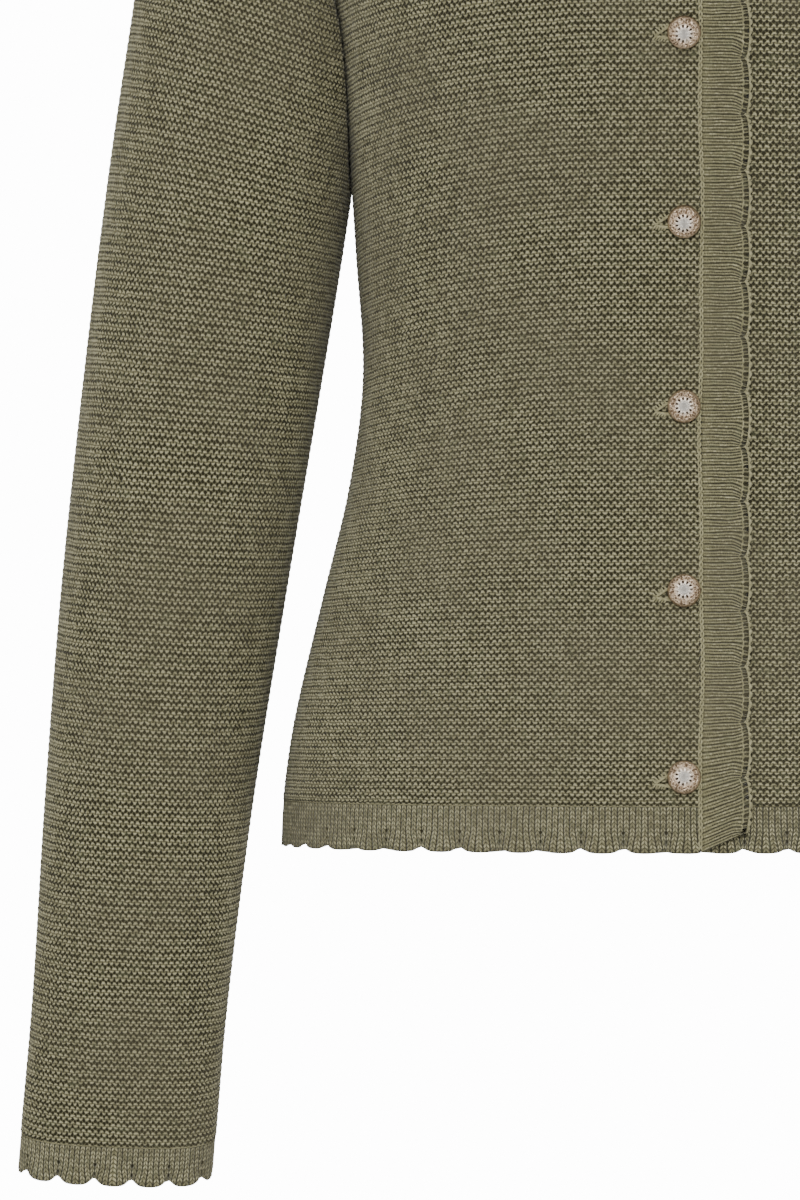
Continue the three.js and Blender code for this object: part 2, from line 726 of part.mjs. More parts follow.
function add(name, geometry, material) {
  const mesh = new THREE.Mesh(geometry, material);
  mesh.name = name;
  cardigan.add(mesh);
}

const shoulderColumns = span(FRONT_COLUMNS - FRONT_NECK_COLUMNS, (_, i) => FRONT_NECK_COLUMNS + i);
const mirroredColumns = shoulderColumns.map((c) => FRONT_COLUMNS - c);
const backShoulderColumns = span(BACK_SHOULDER_COLUMNS, (_, i) => [i, BACK_COLUMNS - i]).flat();

const leftGrid = frontGrid(0);
const rightGrid = mirrored(frontGrid(LAP_LIFT));
const wholeBack = backGrid();
const leftFront = { grid: leftGrid, normals: panelNormals(leftGrid, [FRONT_COLUMNS], shoulderColumns) };
const rightFront = { grid: rightGrid, normals: panelNormals(rightGrid, [0], mirroredColumns) };
const backNormals = panelNormals(wholeBack, [0, BACK_COLUMNS], backShoulderColumns);
const back = { grid: wholeBack, normals: backNormals };

add('front_right', withButtonholes(clothWall(rightFront.grid, rightFront.normals, GARTER_WALL)), garterCloth);
add('front_left', clothWall(leftFront.grid, leftFront.normals, GARTER_WALL), garterCloth);
add('back', clothWall(back.grid, back.normals, GARTER_WALL), garterCloth);
add('sleeve_right', sleeveSolid(leftFront, back, -1), garterCloth);
add('sleeve_left', sleeveSolid(leftFront, back, 1), garterCloth);

const hemLeftGrid = frontHemGrid(0);
const hemRightGrid = mirrored(frontHemGrid(LAP_LIFT));
const hemBackGrid = backHemGrid();
add('hem_border_right', hemBorder(hemRightGrid, [0]), borderCloth);
add('hem_border_left', hemBorder(hemLeftGrid, [hemLeftGrid[0].length - 1]), borderCloth);
add('hem_border_back', hemBorder(hemBackGrid, [0, hemBackGrid[0].length - 1]), borderCloth);
add('cuff_border_right', cuffSolid(-1), borderCloth);
add('cuff_border_left', cuffSolid(1), borderCloth);

const trimLeftGrid = frontTrimGrid(0);
const trimRightGrid = mirrored(frontTrimGrid(LAP_LIFT));
add('front_trim_right', clothWall(trimRightGrid, gridNormals(trimRightGrid), TRIM_WALL), borderCloth);
add('front_trim_left', clothWall(trimLeftGrid, gridNormals(trimLeftGrid), TRIM_WALL), borderCloth);
add('neck_trim', neckTrimSolid(leftFront, back, rightFront), borderCloth);

for (let i = 0; i < BUTTON_COUNT; i += 1) {
  cardigan.add(buttonMesh(i));
}

export default cardigan;
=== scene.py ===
# The looks of the trachten cardigan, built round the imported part.
# Lengths are millimetres here and become metres where a mesh is made.
import math

import bpy
import numpy as np
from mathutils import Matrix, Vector


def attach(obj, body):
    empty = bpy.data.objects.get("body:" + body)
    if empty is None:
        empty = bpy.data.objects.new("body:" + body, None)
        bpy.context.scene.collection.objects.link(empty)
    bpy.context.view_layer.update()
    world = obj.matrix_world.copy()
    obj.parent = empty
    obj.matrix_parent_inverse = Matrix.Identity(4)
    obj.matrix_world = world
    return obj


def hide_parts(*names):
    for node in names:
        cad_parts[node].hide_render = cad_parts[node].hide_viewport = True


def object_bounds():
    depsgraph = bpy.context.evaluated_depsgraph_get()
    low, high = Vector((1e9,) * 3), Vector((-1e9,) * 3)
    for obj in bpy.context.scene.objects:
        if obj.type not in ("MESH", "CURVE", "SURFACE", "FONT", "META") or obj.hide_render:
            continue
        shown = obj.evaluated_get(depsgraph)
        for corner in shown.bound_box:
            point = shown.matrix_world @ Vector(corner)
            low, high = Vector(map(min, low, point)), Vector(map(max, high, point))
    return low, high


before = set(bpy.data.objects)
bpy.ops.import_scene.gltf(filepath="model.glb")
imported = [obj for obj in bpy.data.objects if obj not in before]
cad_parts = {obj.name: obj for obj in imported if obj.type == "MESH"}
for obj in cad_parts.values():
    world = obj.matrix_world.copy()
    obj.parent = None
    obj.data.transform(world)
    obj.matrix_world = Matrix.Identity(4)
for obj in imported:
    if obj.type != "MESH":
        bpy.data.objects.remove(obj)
cad_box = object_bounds()

MM = 0.001
HALF_PI = math.pi / 2

# The part's own measures
HEM_Z = -570.0
BORDER_HEIGHT = 17.8
HEM_SEAM_Z = HEM_Z + BORDER_HEIGHT
SEAM_GAP = 0.3
EDGE_GAP = 0.35
ARMPIT_Z = -229.0
NECK_X = 72.0
NECK_Z = -8.0
NECK_BACK_Z = -22.0
NECK_FRONT_POWER = 2.3
NECK_BACK_POWER = 2.6
SHOULDER_SLOPE = 0.3
SHOULDER_TIP_X = 185.0
SHOULDER_TIP_Z = NECK_Z - (SHOULDER_TIP_X - NECK_X) * SHOULDER_SLOPE
SHOULDER_ROUND = 45.0
SECTION_POWER = 2.2
ARMHOLE_HEIGHT = SHOULDER_TIP_Z - ARMPIT_Z
ARMHOLE_CURVE = 1.3
ARMHOLE_REACH = 0.56
FRONT_EDGE = 6.2
LAP_LIFT = 3.2
LAP_FULL_WITHIN = 32.0
LAP_NONE_BEYOND = 60.0
TRIM_WIDTH = 18.9
TRIM_SCALLOP = 20.75
TRIM_SCALLOPS = 23
TRIM_NOTCH = 2.1
TRIM_END_Z = -561.9
TRIM_END_DROP = 7.6
TRIM_END_SCALLOPS = 2.5
TRIM_TOP_Z = TRIM_END_Z + TRIM_SCALLOPS * TRIM_SCALLOP
NECK_TRIM_HEIGHT = 17.8
NECK_TRIM_STRAIGHT = 28.0
NECK_FRONT_Z = TRIM_TOP_Z - NECK_TRIM_HEIGHT
HEM_NOTCH = 2.0
HEM_FIRST_SCALLOP = 0.2
HEM_SCALLOPS_FRONT = 14
HEM_SCALLOPS_BACK = 28
CUFF_SCALLOPS = 14
CUFF_NOTCH = 2.8
CUFF_SEAM_Z = -681.0
CUFF_BORDER_HEIGHT = 14.8
BUTTON_COUNT = 7
BUTTON_PITCH = 70.1
BUTTON_LOWEST_Z = -541.5
BUTTON_RADIUS = 6.35
BUTTON_RISE = 4.6
BICEP_Z = -262.0
BICEP_X = 170.0
BICEP_LEAN = 17.0
BODY_CLEARANCE = 1.2
CAP_LEAVE = 0.2
CAP_ARRIVE = 0.35
CAP_STEP = 10.0

# z, half width, front depth, back depth, middle
TORSO = [
    (-575, 157.2, 112, 118, 0),
    (-551, 156, 111, 116, 0),
    (-520, 151.5, 108, 111, 0),
    (-473, 140.5, 102, 102, 0),
    (-430, 130.3, 98, 95, 0),
    (-387, 125, 98, 91, 0),
    (-340, 127.7, 104, 93, 0),
    (-300, 130.4, 114, 98, 0),
    (-275, 132.6, 119.5, 101.5, 0),
    (-250, 135.9, 125, 104.3, 0),
    (-229, 141.3, 125.5, 105.5, 0),
    (-190, 151, 117, 107, 0),
    (-150, 151, 101, 104, 1),
    (-106, 151, 80, 96, 2.5),
    (-60, 151, 58, 78, 4),
    (-30, 151, 46, 60, 5),
    (-8, 151, 40, 48, 5),
]

# z, x, y, width, depth, power, lean, dip
SLEEVE = [
    (-262, 170, 0, 95, 108, 2.2, 17, 0),
    (-318.5, 178, 0, 94.8, 106, 2.2, 11, 0),
    (-396.5, 189, -1, 91.7, 100, 2.2, 5, 1),
    (-474.5, 199.5, -3, 87, 92, 2.2, 3.5, 3),
    (-552.5, 208.5, -6, 80.7, 80, 2.3, 3, 5),
    (-630.5, 215.7, -9, 75.7, 58, 2.6, 2.5, 8),
    (-681, 220, -11, 75.7, 42, 3, 2.1, 14),
    (-699, 221.4, -12, 75.9, 40, 3, 2.1, 17),
]


def smooth_step(t):
    s = np.clip(t, 0, 1)
    return s * s * (3 - 2 * s)


def signed_power(value, power):
    return np.sign(value) * np.abs(value) ** power


def unit(vectors):
    length = np.linalg.norm(vectors, axis=-1, keepdims=True)
    return vectors / np.maximum(length, 1e-12)


def smooth_column(table, column):
    """A smooth curve through one column of a table, as a function of z."""
    rows = sorted(table)
    z = np.array([row[0] for row in rows], float)
    value = np.array([row[column] for row in rows], float)
    place = np.arange(len(z))
    before = np.maximum(place - 1, 0)
    after = np.minimum(place + 1, len(z) - 1)
    slope = (value[after] - value[before]) / (z[after] - z[before])

    def at(height):
        height = np.asarray(height, float)
        i = np.clip(np.searchsorted(z, height) - 1, 0, len(z) - 2)
        span = z[i + 1] - z[i]
        t = np.clip((height - z[i]) / span, 0, 1)
        start = (1 + 2 * t) * (1 - t) ** 2
        start_slope = t * (1 - t) ** 2 * span * slope[i]
        end_slope = t * t * (t - 1) * span * slope[i + 1]
        return start * value[i] + start_slope + (1 - start) * value[i + 1] + end_slope

    return at


half_width_at, front_depth_at, back_depth_at, middle_at = (
    smooth_column(TORSO, column) for column in (1, 2, 3, 4)
)
sleeve_at = [smooth_column(SLEEVE, column) for column in range(1, 8)]


# The body's surface
def armhole_x(z):
    rise = np.clip((z - ARMPIT_Z) / ARMHOLE_HEIGHT, 0, 1)
    armpit = half_width_at(ARMPIT_Z)
    return armpit + (SHOULDER_TIP_X - armpit) * rise**ARMHOLE_CURVE


def outline_at(z):
    z = np.asarray(z, float)
    rise = np.clip((z - ARMPIT_Z) / ARMHOLE_HEIGHT, 0, 1)
    turn = np.minimum(np.arccos(np.clip(1 - 2 * rise, -1, 1)), HALF_PI)
    reach = ARMHOLE_REACH * np.sin(turn)
    above = armhole_x(z) / (1 - reach**SECTION_POWER) ** (1 / SECTION_POWER)
    return np.where(z <= ARMPIT_Z, half_width_at(z), above)


def shoulder_z(x):
    return NECK_Z - np.maximum(0, np.abs(x) - NECK_X) * SHOULDER_SLOPE


def torso_point(x, z, facing, lift=0.0, share=None):
    """A point of the front (facing -1, with the lap's lift) or the back (facing 1)."""
    x, z = np.broadcast_arrays(np.asarray(x, float), np.asarray(z, float))
    depth = front_depth_at(z) if facing < 0 else back_depth_at(z)
    if share is None:
        across = np.minimum(1, np.abs(x) / outline_at(z))
        share = (1 - across**SECTION_POWER) ** (1 / SECTION_POWER)
    below = np.clip((shoulder_z(x) - z) / SHOULDER_ROUND, 0, 1)
    over = np.sqrt(below * (2 - below))
    y = middle_at(z) + facing * depth * share * over + facing * SEAM_GAP / 2
    if facing < 0:
        y = y + SEAM_GAP / 2
        near = (LAP_NONE_BEYOND - x) / (LAP_NONE_BEYOND - LAP_FULL_WITHIN)
        y = y - lift * smooth_step(near) - SEAM_GAP / 2
    return np.stack([x, y, z], -1)


def section_point(theta, z, facing, lift):
    x = outline_at(z) * signed_power(np.sin(theta), 2 / SECTION_POWER)
    share = np.abs(np.cos(theta)) ** (2 / SECTION_POWER)
    return torso_point(x, z, facing, lift, share)


def section_angle(z, x):
    return np.arcsin(signed_power(x / outline_at(z), SECTION_POWER / 2))


# The knit's own measures: ridge pitch along the cloth at some heights, stitch pitch, relief
RIDGE_HEIGHTS = (-552, -430, -380, -300, -8)
RIDGE_PITCHES = (2.72, 2.76, 2.85, 3.06, 3.06)
STITCH = 2.5
SLEEVE_STITCH = 2.25
SLEEVE_RIDGE_HEIGHTS = (-684, -640, -560, -440, -262)
SLEEVE_RIDGE_PITCHES = (2.75, 2.85, 3.0, 3.12, 3.15)
RELIEF = 0.95
RIDGE = 0.12
GARTER_WALL = 2.2
TRIM_WALL = 1.6
COARSE = 12.0
NECK_COARSE = 4.0
FRONT_COLUMNS = 420
BACK_COLUMNS = 601
SLEEVE_COLUMNS = 441
UPPER_FROM_Z = -70
UPPER_TO_Z = 12
SHORTEST_ROW = 0.4
EDGE_FADE = 1.2
NECK_SIDE_ANGLE = 0.45
PANEL_SPARE = 1.05
FAR = 1e3
WALES = 7
COURSE = 1.6
BORDER_SCALLOP = 16.5
EYELET_HEIGHTS = (4.4, 7.8)

# How far the courses droop towards the side seam, by their height in the middle of the front
DROOP_HEIGHTS = (-552, -460, -370, -290, -200, -100, -8)
DROOPS = (0.8, 5, 11.5, 15, 12, 6, 0)


def garter_height(u, v):
    """Relief of garter stitch: bumps on a staggered lattice, 1 on a bump and 0 in the holes."""
    lattice = 0.5 + 0.5 * np.cos(2 * math.pi * u) * np.cos(2 * math.pi * v)
    return lattice + RIDGE * np.cos(2 * math.pi * v)


def arc_lengths(path):
    """Length along a path up to each of its points."""
    steps = np.linalg.norm(np.diff(path, axis=-2), axis=-1)
    return np.concatenate([np.zeros((*steps.shape[:-1], 1)), np.cumsum(steps, axis=-1)], axis=-1)


def along_path(at, arcs, path):
    """Points of a path at some lengths along it."""
    return np.stack([np.interp(at, arcs, path[:, k]) for k in range(3)], -1)


def dense_normals(points):
    """Outward directions of dense rows that run to the right seen from outside."""
    along = np.gradient(points, axis=1)
    up = np.empty_like(points)
    up[1:] = points[1:] - points[:-1]
    up[0] = up[1]
    return unit(np.cross(along, up))


def crossing(arcs, inside):
    """Per row the arcs where the signed share inside starts and stops being positive."""
    count = inside.shape[1]
    good = inside > 0
    first = np.argmax(good, axis=1)
    last = count - 1 - np.argmax(good[:, ::-1], axis=1)
    rows = np.arange(len(arcs))

    def meet(a, b):
        fa, fb = inside[rows, a], inside[rows, b]
        t = np.where(fa == fb, 0, fa / np.where(fa == fb, 1, fa - fb))
        t = np.clip(t, 0, 1)
        return arcs[rows, a] + (arcs[rows, b] - arcs[rows, a]) * t

    low = meet(first, np.maximum(first - 1, 0))
    high = meet(last, np.minimum(last + 1, count - 1))
    return low, high, good.any(axis=1)


def resample(points, normals, arcs, stops):
    """Points and directions of each row at its own list of arcs."""
    place, out = (
        np.stack([along_path(*row) for row in zip(stops, arcs, values)])
        for values in (points, normals)
    )
    return place, unit(out)


def level_values(length, heights, pitches, z_of_length, per_ridge):
    """Lengths up the cloth at which rows lie, and their course numbers."""
    fine = np.linspace(0, length, 4000)
    pitch = np.interp(z_of_length(fine), heights, pitches)
    ridges = np.concatenate([[0], np.cumsum((fine[1] - fine[0]) / pitch[1:])])
    count = int(ridges[-1] * per_ridge)
    numbers = np.arange(count + 1) / per_ridge
    return np.interp(numbers, ridges, fine), lambda at: np.interp(at, fine, ridges)


def panel_field(facing, lift, thetas):
    """For each column of angles: heights, and lengths up the cloth from the hem seam."""
    low = HEM_SEAM_Z + SEAM_GAP / 2
    lower = np.linspace(low, UPPER_FROM_Z, 320)[:-1]
    heights = np.concatenate([lower, np.linspace(UPPER_FROM_Z, UPPER_TO_Z, 1600)])
    grid = section_point(thetas[:, None], heights[None, :], facing, lift)
    lengths = arc_lengths(grid)
    armpit = np.array([np.interp(ARMPIT_Z, heights, row) for row in lengths])
    middle = np.argmin(np.abs(thetas))
    scale = armpit[middle] / armpit
    lower = lengths * scale[:, None]
    upper = lengths - armpit[:, None] + armpit[middle]
    return heights, np.where(heights[None, :] < ARMPIT_Z, lower, upper), middle


def panel_courses(thetas, field, per_ridge):
    """Lengths up a panel at which rows lie, and the course number at a length."""
    heights, lengths, middle = field
    neck_side = np.argmin(np.abs(thetas - NECK_SIDE_ANGLE))
    top_length = np.interp(NECK_Z, heights, lengths[neck_side]) * PANEL_SPARE
    z_of = lambda length: np.interp(length, lengths[middle], heights)
    return level_values(top_length, RIDGE_HEIGHTS, RIDGE_PITCHES, z_of, per_ridge)


def panel_rows(facing, lift, thetas, levels, field):
    heights, lengths, middle = field
    z_middle = np.interp(levels, lengths[middle], heights)
    droop = np.interp(z_middle, DROOP_HEIGHTS, DROOPS) if facing < 0 else 0 * z_middle
    fall = smooth_step((np.abs(thetas) / HALF_PI - 0.12) / 0.95)
    columns = zip(fall, lengths)
    z = np.stack([np.interp(levels - droop * share, column, heights) for share, column in columns], 1)
    return section_point(thetas[None, :], z, facing, lift)


def neck_edge_x(z, depth_z, power):
    share = np.clip((z - NECK_Z) / (depth_z - NECK_Z), 0, 1) ** (power / 2)
    return NECK_X * (1 - share**2) ** (1 / power)


def front_inside(points):
    x, z = points[..., 0], points[..., 2]
    neck = np.where(z <= NECK_FRONT_Z, -FRONT_EDGE, neck_edge_x(z, NECK_FRONT_Z, NECK_FRONT_POWER))
    arm = np.where(z <= ARMPIT_Z, FAR, armhole_x(z) - x)
    return np.minimum(np.minimum(x - neck, arm), shoulder_z(x) - z)


def back_inside(points):
    x, z = np.abs(points[..., 0]), points[..., 2]
    arm = np.where(z <= ARMPIT_Z, FAR, armhole_x(z) - x)
    return np.minimum(arm, shoulder_z(x) - z)


def grid_arcs(points, start_x, sign=1):
    arcs = arc_lengths(points)
    zero = [np.interp(sign * start_x, sign * row[:, 0], arc) for row, arc in zip(points, arcs)]
    return arcs - np.array(zero)[:, None]


def knit_grid(keep, points, normals, arcs, stops, near, numbers):
    """Places, outward directions, knit coordinates and the distance to the nearest edge."""
    place, out = resample(points[keep], normals[keep], arcs[keep], stops)
    return {"place": place, "out": out, "arc": stops, "number": numbers[keep], "near": near}


def front_sheet(lift, per_ridge, per_stitch):
    """Fine outer and coarse inner grids of a front on the wearer's left."""
    thetas = np.linspace(-0.06, HALF_PI, FRONT_COLUMNS)
    field = panel_field(-1, lift, thetas)
    fine, number_of = panel_courses(thetas, field, per_ridge)
    coarse = np.arange(0, fine[-1], COARSE)
    grids = []
    for levels, step in ((fine, STITCH / per_stitch), (coarse, COARSE)):
        points = panel_rows(-1, lift, thetas, levels, field)
        arcs = grid_arcs(points, -FRONT_EDGE)
        low, high, good = crossing(arcs, front_inside(points))
        keep = np.nonzero(good & (high - low > SHORTEST_ROW))[0]
        low, high = low[keep, None], high[keep, None]
        stops = np.clip(np.arange(0, high.max() + step, step)[None, :], low, high)
        near = np.minimum(stops - low, high - stops)
        normals = dense_normals(points)
        grids.append(knit_grid(keep, points, normals, arcs, stops, near, number_of(levels)))
    return grids


def back_sheet(per_ridge, per_stitch):
    """Grids of the back. Two middle columns lie on each other below the neckline."""
    thetas = np.linspace(HALF_PI, -HALF_PI, BACK_COLUMNS)
    field = panel_field(1, 0, thetas)
    heights, lengths, middle = field
    fine, number_of = panel_courses(thetas, field, per_ridge)
    neck_length = np.interp(NECK_BACK_Z, heights, lengths[middle])
    last_full = fine[fine <= neck_length][-1]
    steps_up = np.linspace(0, last_full, int(last_full / COARSE) + 1)
    neck_steps = np.arange(last_full + NECK_COARSE, fine[-1], NECK_COARSE)
    coarse = np.concatenate([steps_up, neck_steps])
    grids = []
    for levels, step in ((fine, STITCH / per_stitch), (coarse, COARSE)):
        points = panel_rows(1, 0, thetas, levels, field)
        arcs = grid_arcs(points, 0, -1)
        low, high, good = crossing(arcs, back_inside(points))
        x, z = points[..., 0], points[..., 2]
        neck_x = neck_edge_x(z, NECK_BACK_Z, NECK_BACK_POWER)
        off_neck = np.abs(x) - neck_x
        above = levels > last_full + 1e-6
        gap_low, gap_high = np.zeros(len(levels)), np.zeros(len(levels))
        for r in np.nonzero(above)[0]:
            left = arcs[r] < 0
            gap_low[r] = np.interp(0, -off_neck[r][left], arcs[r][left])
            right = arcs[r] > 0
            gap_high[r] = np.interp(0, off_neck[r][right], arcs[r][right])
        good &= (high - gap_high > SHORTEST_ROW) & (gap_low - low > SHORTEST_ROW)
        keep = np.nonzero(good)[0]
        low, high = low[keep, None], high[keep, None]
        gap_low, gap_high = gap_low[keep, None], gap_high[keep, None]
        half = np.arange(0, max(high.max(), -low.min()) + step, step)
        left_stops = np.clip(-half[::-1][None, :], low, gap_low)
        right_stops = np.clip(half[None, :], gap_high, high)
        open_rows = above[keep, None]
        left_near = np.minimum(left_stops - low, np.where(open_rows, gap_low - left_stops, FAR))
        right_near = np.minimum(high - right_stops, np.where(open_rows, right_stops - gap_high, FAR))
        stops = np.concatenate([left_stops, right_stops], axis=1)
        near = np.concatenate([left_near, right_near], axis=1)
        normals = dense_normals(points)
        grid = knit_grid(keep, points, normals, arcs, stops, near, number_of(levels))
        grid["full_row"] = int(np.nonzero(~above[keep])[0][-1])
        grids.append(grid)
    return grids


# The left sleeve; a ring's turn is 0 next to the body, a quarter in front, a half on the outside
def clear_of_body(points):
    x, y, z = points[..., 0], points[..., 1], points[..., 2]
    depth = np.where(y < 0, front_depth_at(z), back_depth_at(z))
    along = np.minimum(1, np.abs(y) / depth)
    body_x = outline_at(z) * (1 - along**SECTION_POWER) ** (1 / SECTION_POWER)
    moved = np.where(z > ARMPIT_Z, x, np.maximum(x, body_x + BODY_CLEARANCE))
    return np.stack([moved, y, z], -1)


def sleeve_ring(z, turn):
    z, turn = np.broadcast_arrays(np.asarray(z, float), turn)
    x, y, width, depth, power, lean, dip = (column(z) for column in sleeve_at)
    across = -signed_power(np.cos(turn), 2 / power) * width / 2
    forward = -signed_power(np.sin(turn), 2 / power) * depth / 2
    lean, dip = np.radians(lean), np.radians(dip)
    point = np.stack(
        [
            x + across * np.cos(lean),
            y + forward * np.cos(dip),
            z + across * np.sin(lean) + forward * np.sin(dip),
        ],
        -1,
    )
    return clear_of_body(point)


def armhole_loop(turn):
    """Points of the armhole and the way the sleeve leaves it, by the ring's turn."""
    share = np.where(turn <= math.pi, turn, 2 * math.pi - turn) / math.pi
    z = ARMPIT_Z + ARMHOLE_HEIGHT * (1 - np.cos(math.pi * share)) / 2
    x = armhole_x(z)
    facing = np.where(turn <= math.pi, -1, 1)
    theta = section_angle(z, np.minimum(x, outline_at(z)))
    small = 1e-3
    points = np.empty((len(turn), 3))
    normals = np.empty((len(turn), 3))
    for way in (-1, 1):
        on = facing == way
        here = section_point(theta[on], z[on], way, 0)
        along = here - section_point(theta[on] - small, z[on], way, 0)
        up = here - section_point(theta[on], z[on] - 0.05, way, 0)
        points[on] = here
        points[on, 1] -= way * SEAM_GAP / 2
        normals[on] = unit(np.cross(along, up)) * -way
    after, before = np.roll(points, -1, 0), np.roll(points, 1, 0)
    outward = unit(np.cross(after - before, normals))
    return points, outward


def cap_field(turns):
    """Curves from the bicep ring up to the armhole, and the course height along each."""
    points, outward = armhole_loop(turns[:-1])
    points = np.concatenate([points, points[:1]])
    outward = np.concatenate([outward, outward[:1]])
    start = points + outward * EDGE_GAP
    end = sleeve_ring(BICEP_Z, turns)
    upward = unit(end - sleeve_ring(BICEP_Z - CAP_STEP, turns))
    reach = end - start
    length = np.linalg.norm(reach, axis=1, keepdims=True)
    opening = (1 + np.sum(outward * reach / length, axis=1, keepdims=True)) / 2
    leave = start + outward * CAP_LEAVE * opening * length
    leave[:, 0] = np.maximum(leave[:, 0], start[:, 0] + BODY_CLEARANCE)
    arrive = end + upward * CAP_ARRIVE * length
    t = np.linspace(1, 0, 90)[None, :, None]
    curve = (
        (1 - t) ** 3 * start[:, None]
        + 3 * t * (1 - t) ** 2 * leave[:, None]
        + 3 * t * t * (1 - t) * arrive[:, None]
        + t**3 * end[:, None]
    )
    curve = clear_of_body(curve)
    course = curve[..., 2] - (np.abs(curve[..., 0]) - BICEP_X) * math.tan(math.radians(BICEP_LEAN))
    course[:, 0] = BICEP_Z
    return curve, np.maximum.accumulate(course, axis=1)


def sleeve_rows(turns, levels, curve, course, top_length, top_course):
    """Dense rows at lengths up from the cuff seam, and how far each column is inside the cap."""
    tube = BICEP_Z - CUFF_SEAM_Z
    points = np.empty((len(levels), len(turns), 3))
    inside = np.full((len(levels), len(turns)), FAR)
    low = levels <= tube
    points[low] = sleeve_ring((CUFF_SEAM_Z + levels[low])[:, None], turns[None, :])
    high = ~low
    heights = np.interp(levels[high] - tube, top_length, top_course)
    for k in range(len(turns)):
        rising = course[k] + np.arange(course.shape[1]) * 1e-7
        for axis in range(3):
            points[high, k, axis] = np.interp(heights, rising, curve[k, :, axis])
        inside[high, k] = rising[-1] - heights
    return points, inside


def sleeve_sheet(per_ridge, per_stitch):
    turns = np.linspace(0, 2 * math.pi, SLEEVE_COLUMNS)
    curve, course = cap_field(turns)
    top = len(turns) // 2
    top_length = arc_lengths(curve[top])
    tube = BICEP_Z - CUFF_SEAM_Z
    z_of = lambda length: CUFF_SEAM_Z + length
    fine, number_of = level_values(
        tube + top_length[-1] - SEAM_GAP, SLEEVE_RIDGE_HEIGHTS, SLEEVE_RIDGE_PITCHES, z_of, per_ridge
    )
    armpit_length = tube + np.interp(course[0, -1], course[top], top_length)
    seam_end = fine[fine <= armpit_length][-1]
    low_part = np.linspace(0, seam_end, int(seam_end / COARSE) + 1)
    high_part = np.linspace(seam_end, fine[-1], int((fine[-1] - seam_end) / COARSE) + 1)[1:]
    coarse = np.concatenate([low_part, high_part])
    grids = []
    for levels, step in ((fine, SLEEVE_STITCH / per_stitch), (coarse, COARSE)):
        points, inside = sleeve_rows(turns, levels, curve, course, top_length, course[top])
        arcs = arc_lengths(points)
        arcs = arcs - arcs[:, top : top + 1]
        low, high, good = crossing(arcs, inside)
        keep = np.nonzero(good & (high - low > SHORTEST_ROW))[0]
        low, high = low[keep, None], high[keep, None]
        count = int(max(high.max(), -low.min()) / step) + 1
        stops = np.clip(np.arange(-count, count + 1)[None, :] * step, low, high)
        near = np.minimum(stops - low, high - stops)
        normals = dense_normals(points)
        closed = levels <= seam_end + 1e-6
        middle = unit(normals[closed, 0] + normals[closed, -1])
        normals[closed, 0] = middle
        normals[closed, -1] = middle
        grid = knit_grid(keep, points, normals, arcs, stops, near, number_of(levels))
        grid["full_row"] = int(np.nonzero(closed[keep])[0][-1])
        grids.append(grid)
    return grids


# Making meshes
def add_object(name, data):
    made = bpy.data.objects.new(name, data)
    bpy.context.scene.collection.objects.link(made)
    return made


def mesh_piece(name, points, faces, uvs, material):
    """A mesh from merged points and triangles; uvs are one pair per point before merging."""
    rounded = np.round(points, 4)
    _, first, where = np.unique(rounded, axis=0, return_index=True, return_inverse=True)
    where = where.reshape(-1)
    merged = where[faces]
    real = (merged[:, 0] != merged[:, 1]) & (merged[:, 1] != merged[:, 2])
    real &= merged[:, 2] != merged[:, 0]
    merged = merged[real]
    corners = faces[real].reshape(-1)
    mesh = bpy.data.meshes.new(name)
    mesh.vertices.add(len(first))
    mesh.vertices.foreach_set("co", (points[first] * MM).astype(np.float32).ravel())
    count = len(merged)
    mesh.loops.add(count * 3)
    mesh.loops.foreach_set("vertex_index", merged.astype(np.int32).ravel())
    mesh.polygons.add(count)
    mesh.polygons.foreach_set("loop_start", np.arange(0, count * 3, 3, dtype=np.int32))
    mesh.polygons.foreach_set("loop_total", np.full(count, 3, dtype=np.int32))
    mesh.update(calc_edges=True)
    mesh.shade_smooth()
    layer = mesh.uv_layers.new(name="knit")
    layer.data.foreach_set("uv", uvs[corners].astype(np.float32).ravel())
    mesh.materials.append(material)
    mesh.validate()
    return add_object(name, mesh)


def grid_faces(shape, start=0, flip=False, low=None):
    """Two triangles a cell. Where low marks the cell's first corner, the other diagonal is cut."""
    rows, columns = shape[:2]
    index = start + np.arange(rows * columns).reshape(rows, columns)
    a, b = index[:-1, :-1].ravel(), index[:-1, 1:].ravel()
    d, c = index[1:, :-1].ravel(), index[1:, 1:].ravel()
    first, second = np.stack([a, b, c], 1), np.stack([a, c, d], 1)
    if low is not None:
        crossed = low[:-1, :-1].reshape(-1, 1)
        first = np.where(crossed, np.stack([a, b, d], 1), first)
        second = np.where(crossed, np.stack([b, c, d], 1), second)
    faces = np.concatenate([first, second])
    return faces[:, ::-1] if flip else faces


def zip_chains(points, fine, coarse):
    """Triangles between two chains of point numbers that run side by side."""
    a, b = (arc_lengths(points[chain]) for chain in (fine, coarse))
    a, b = a / a[-1], b / b[-1]
    i = j = 0
    faces = []
    while i < len(fine) - 1 or j < len(coarse) - 1:
        if j == len(coarse) - 1 or (i < len(fine) - 1 and a[i + 1] <= b[j + 1]):
            faces.append((fine[i + 1], fine[i], coarse[j]))
            i += 1
        else:
            faces.append((fine[i], coarse[j], coarse[j + 1]))
            j += 1
    return np.array(faces)


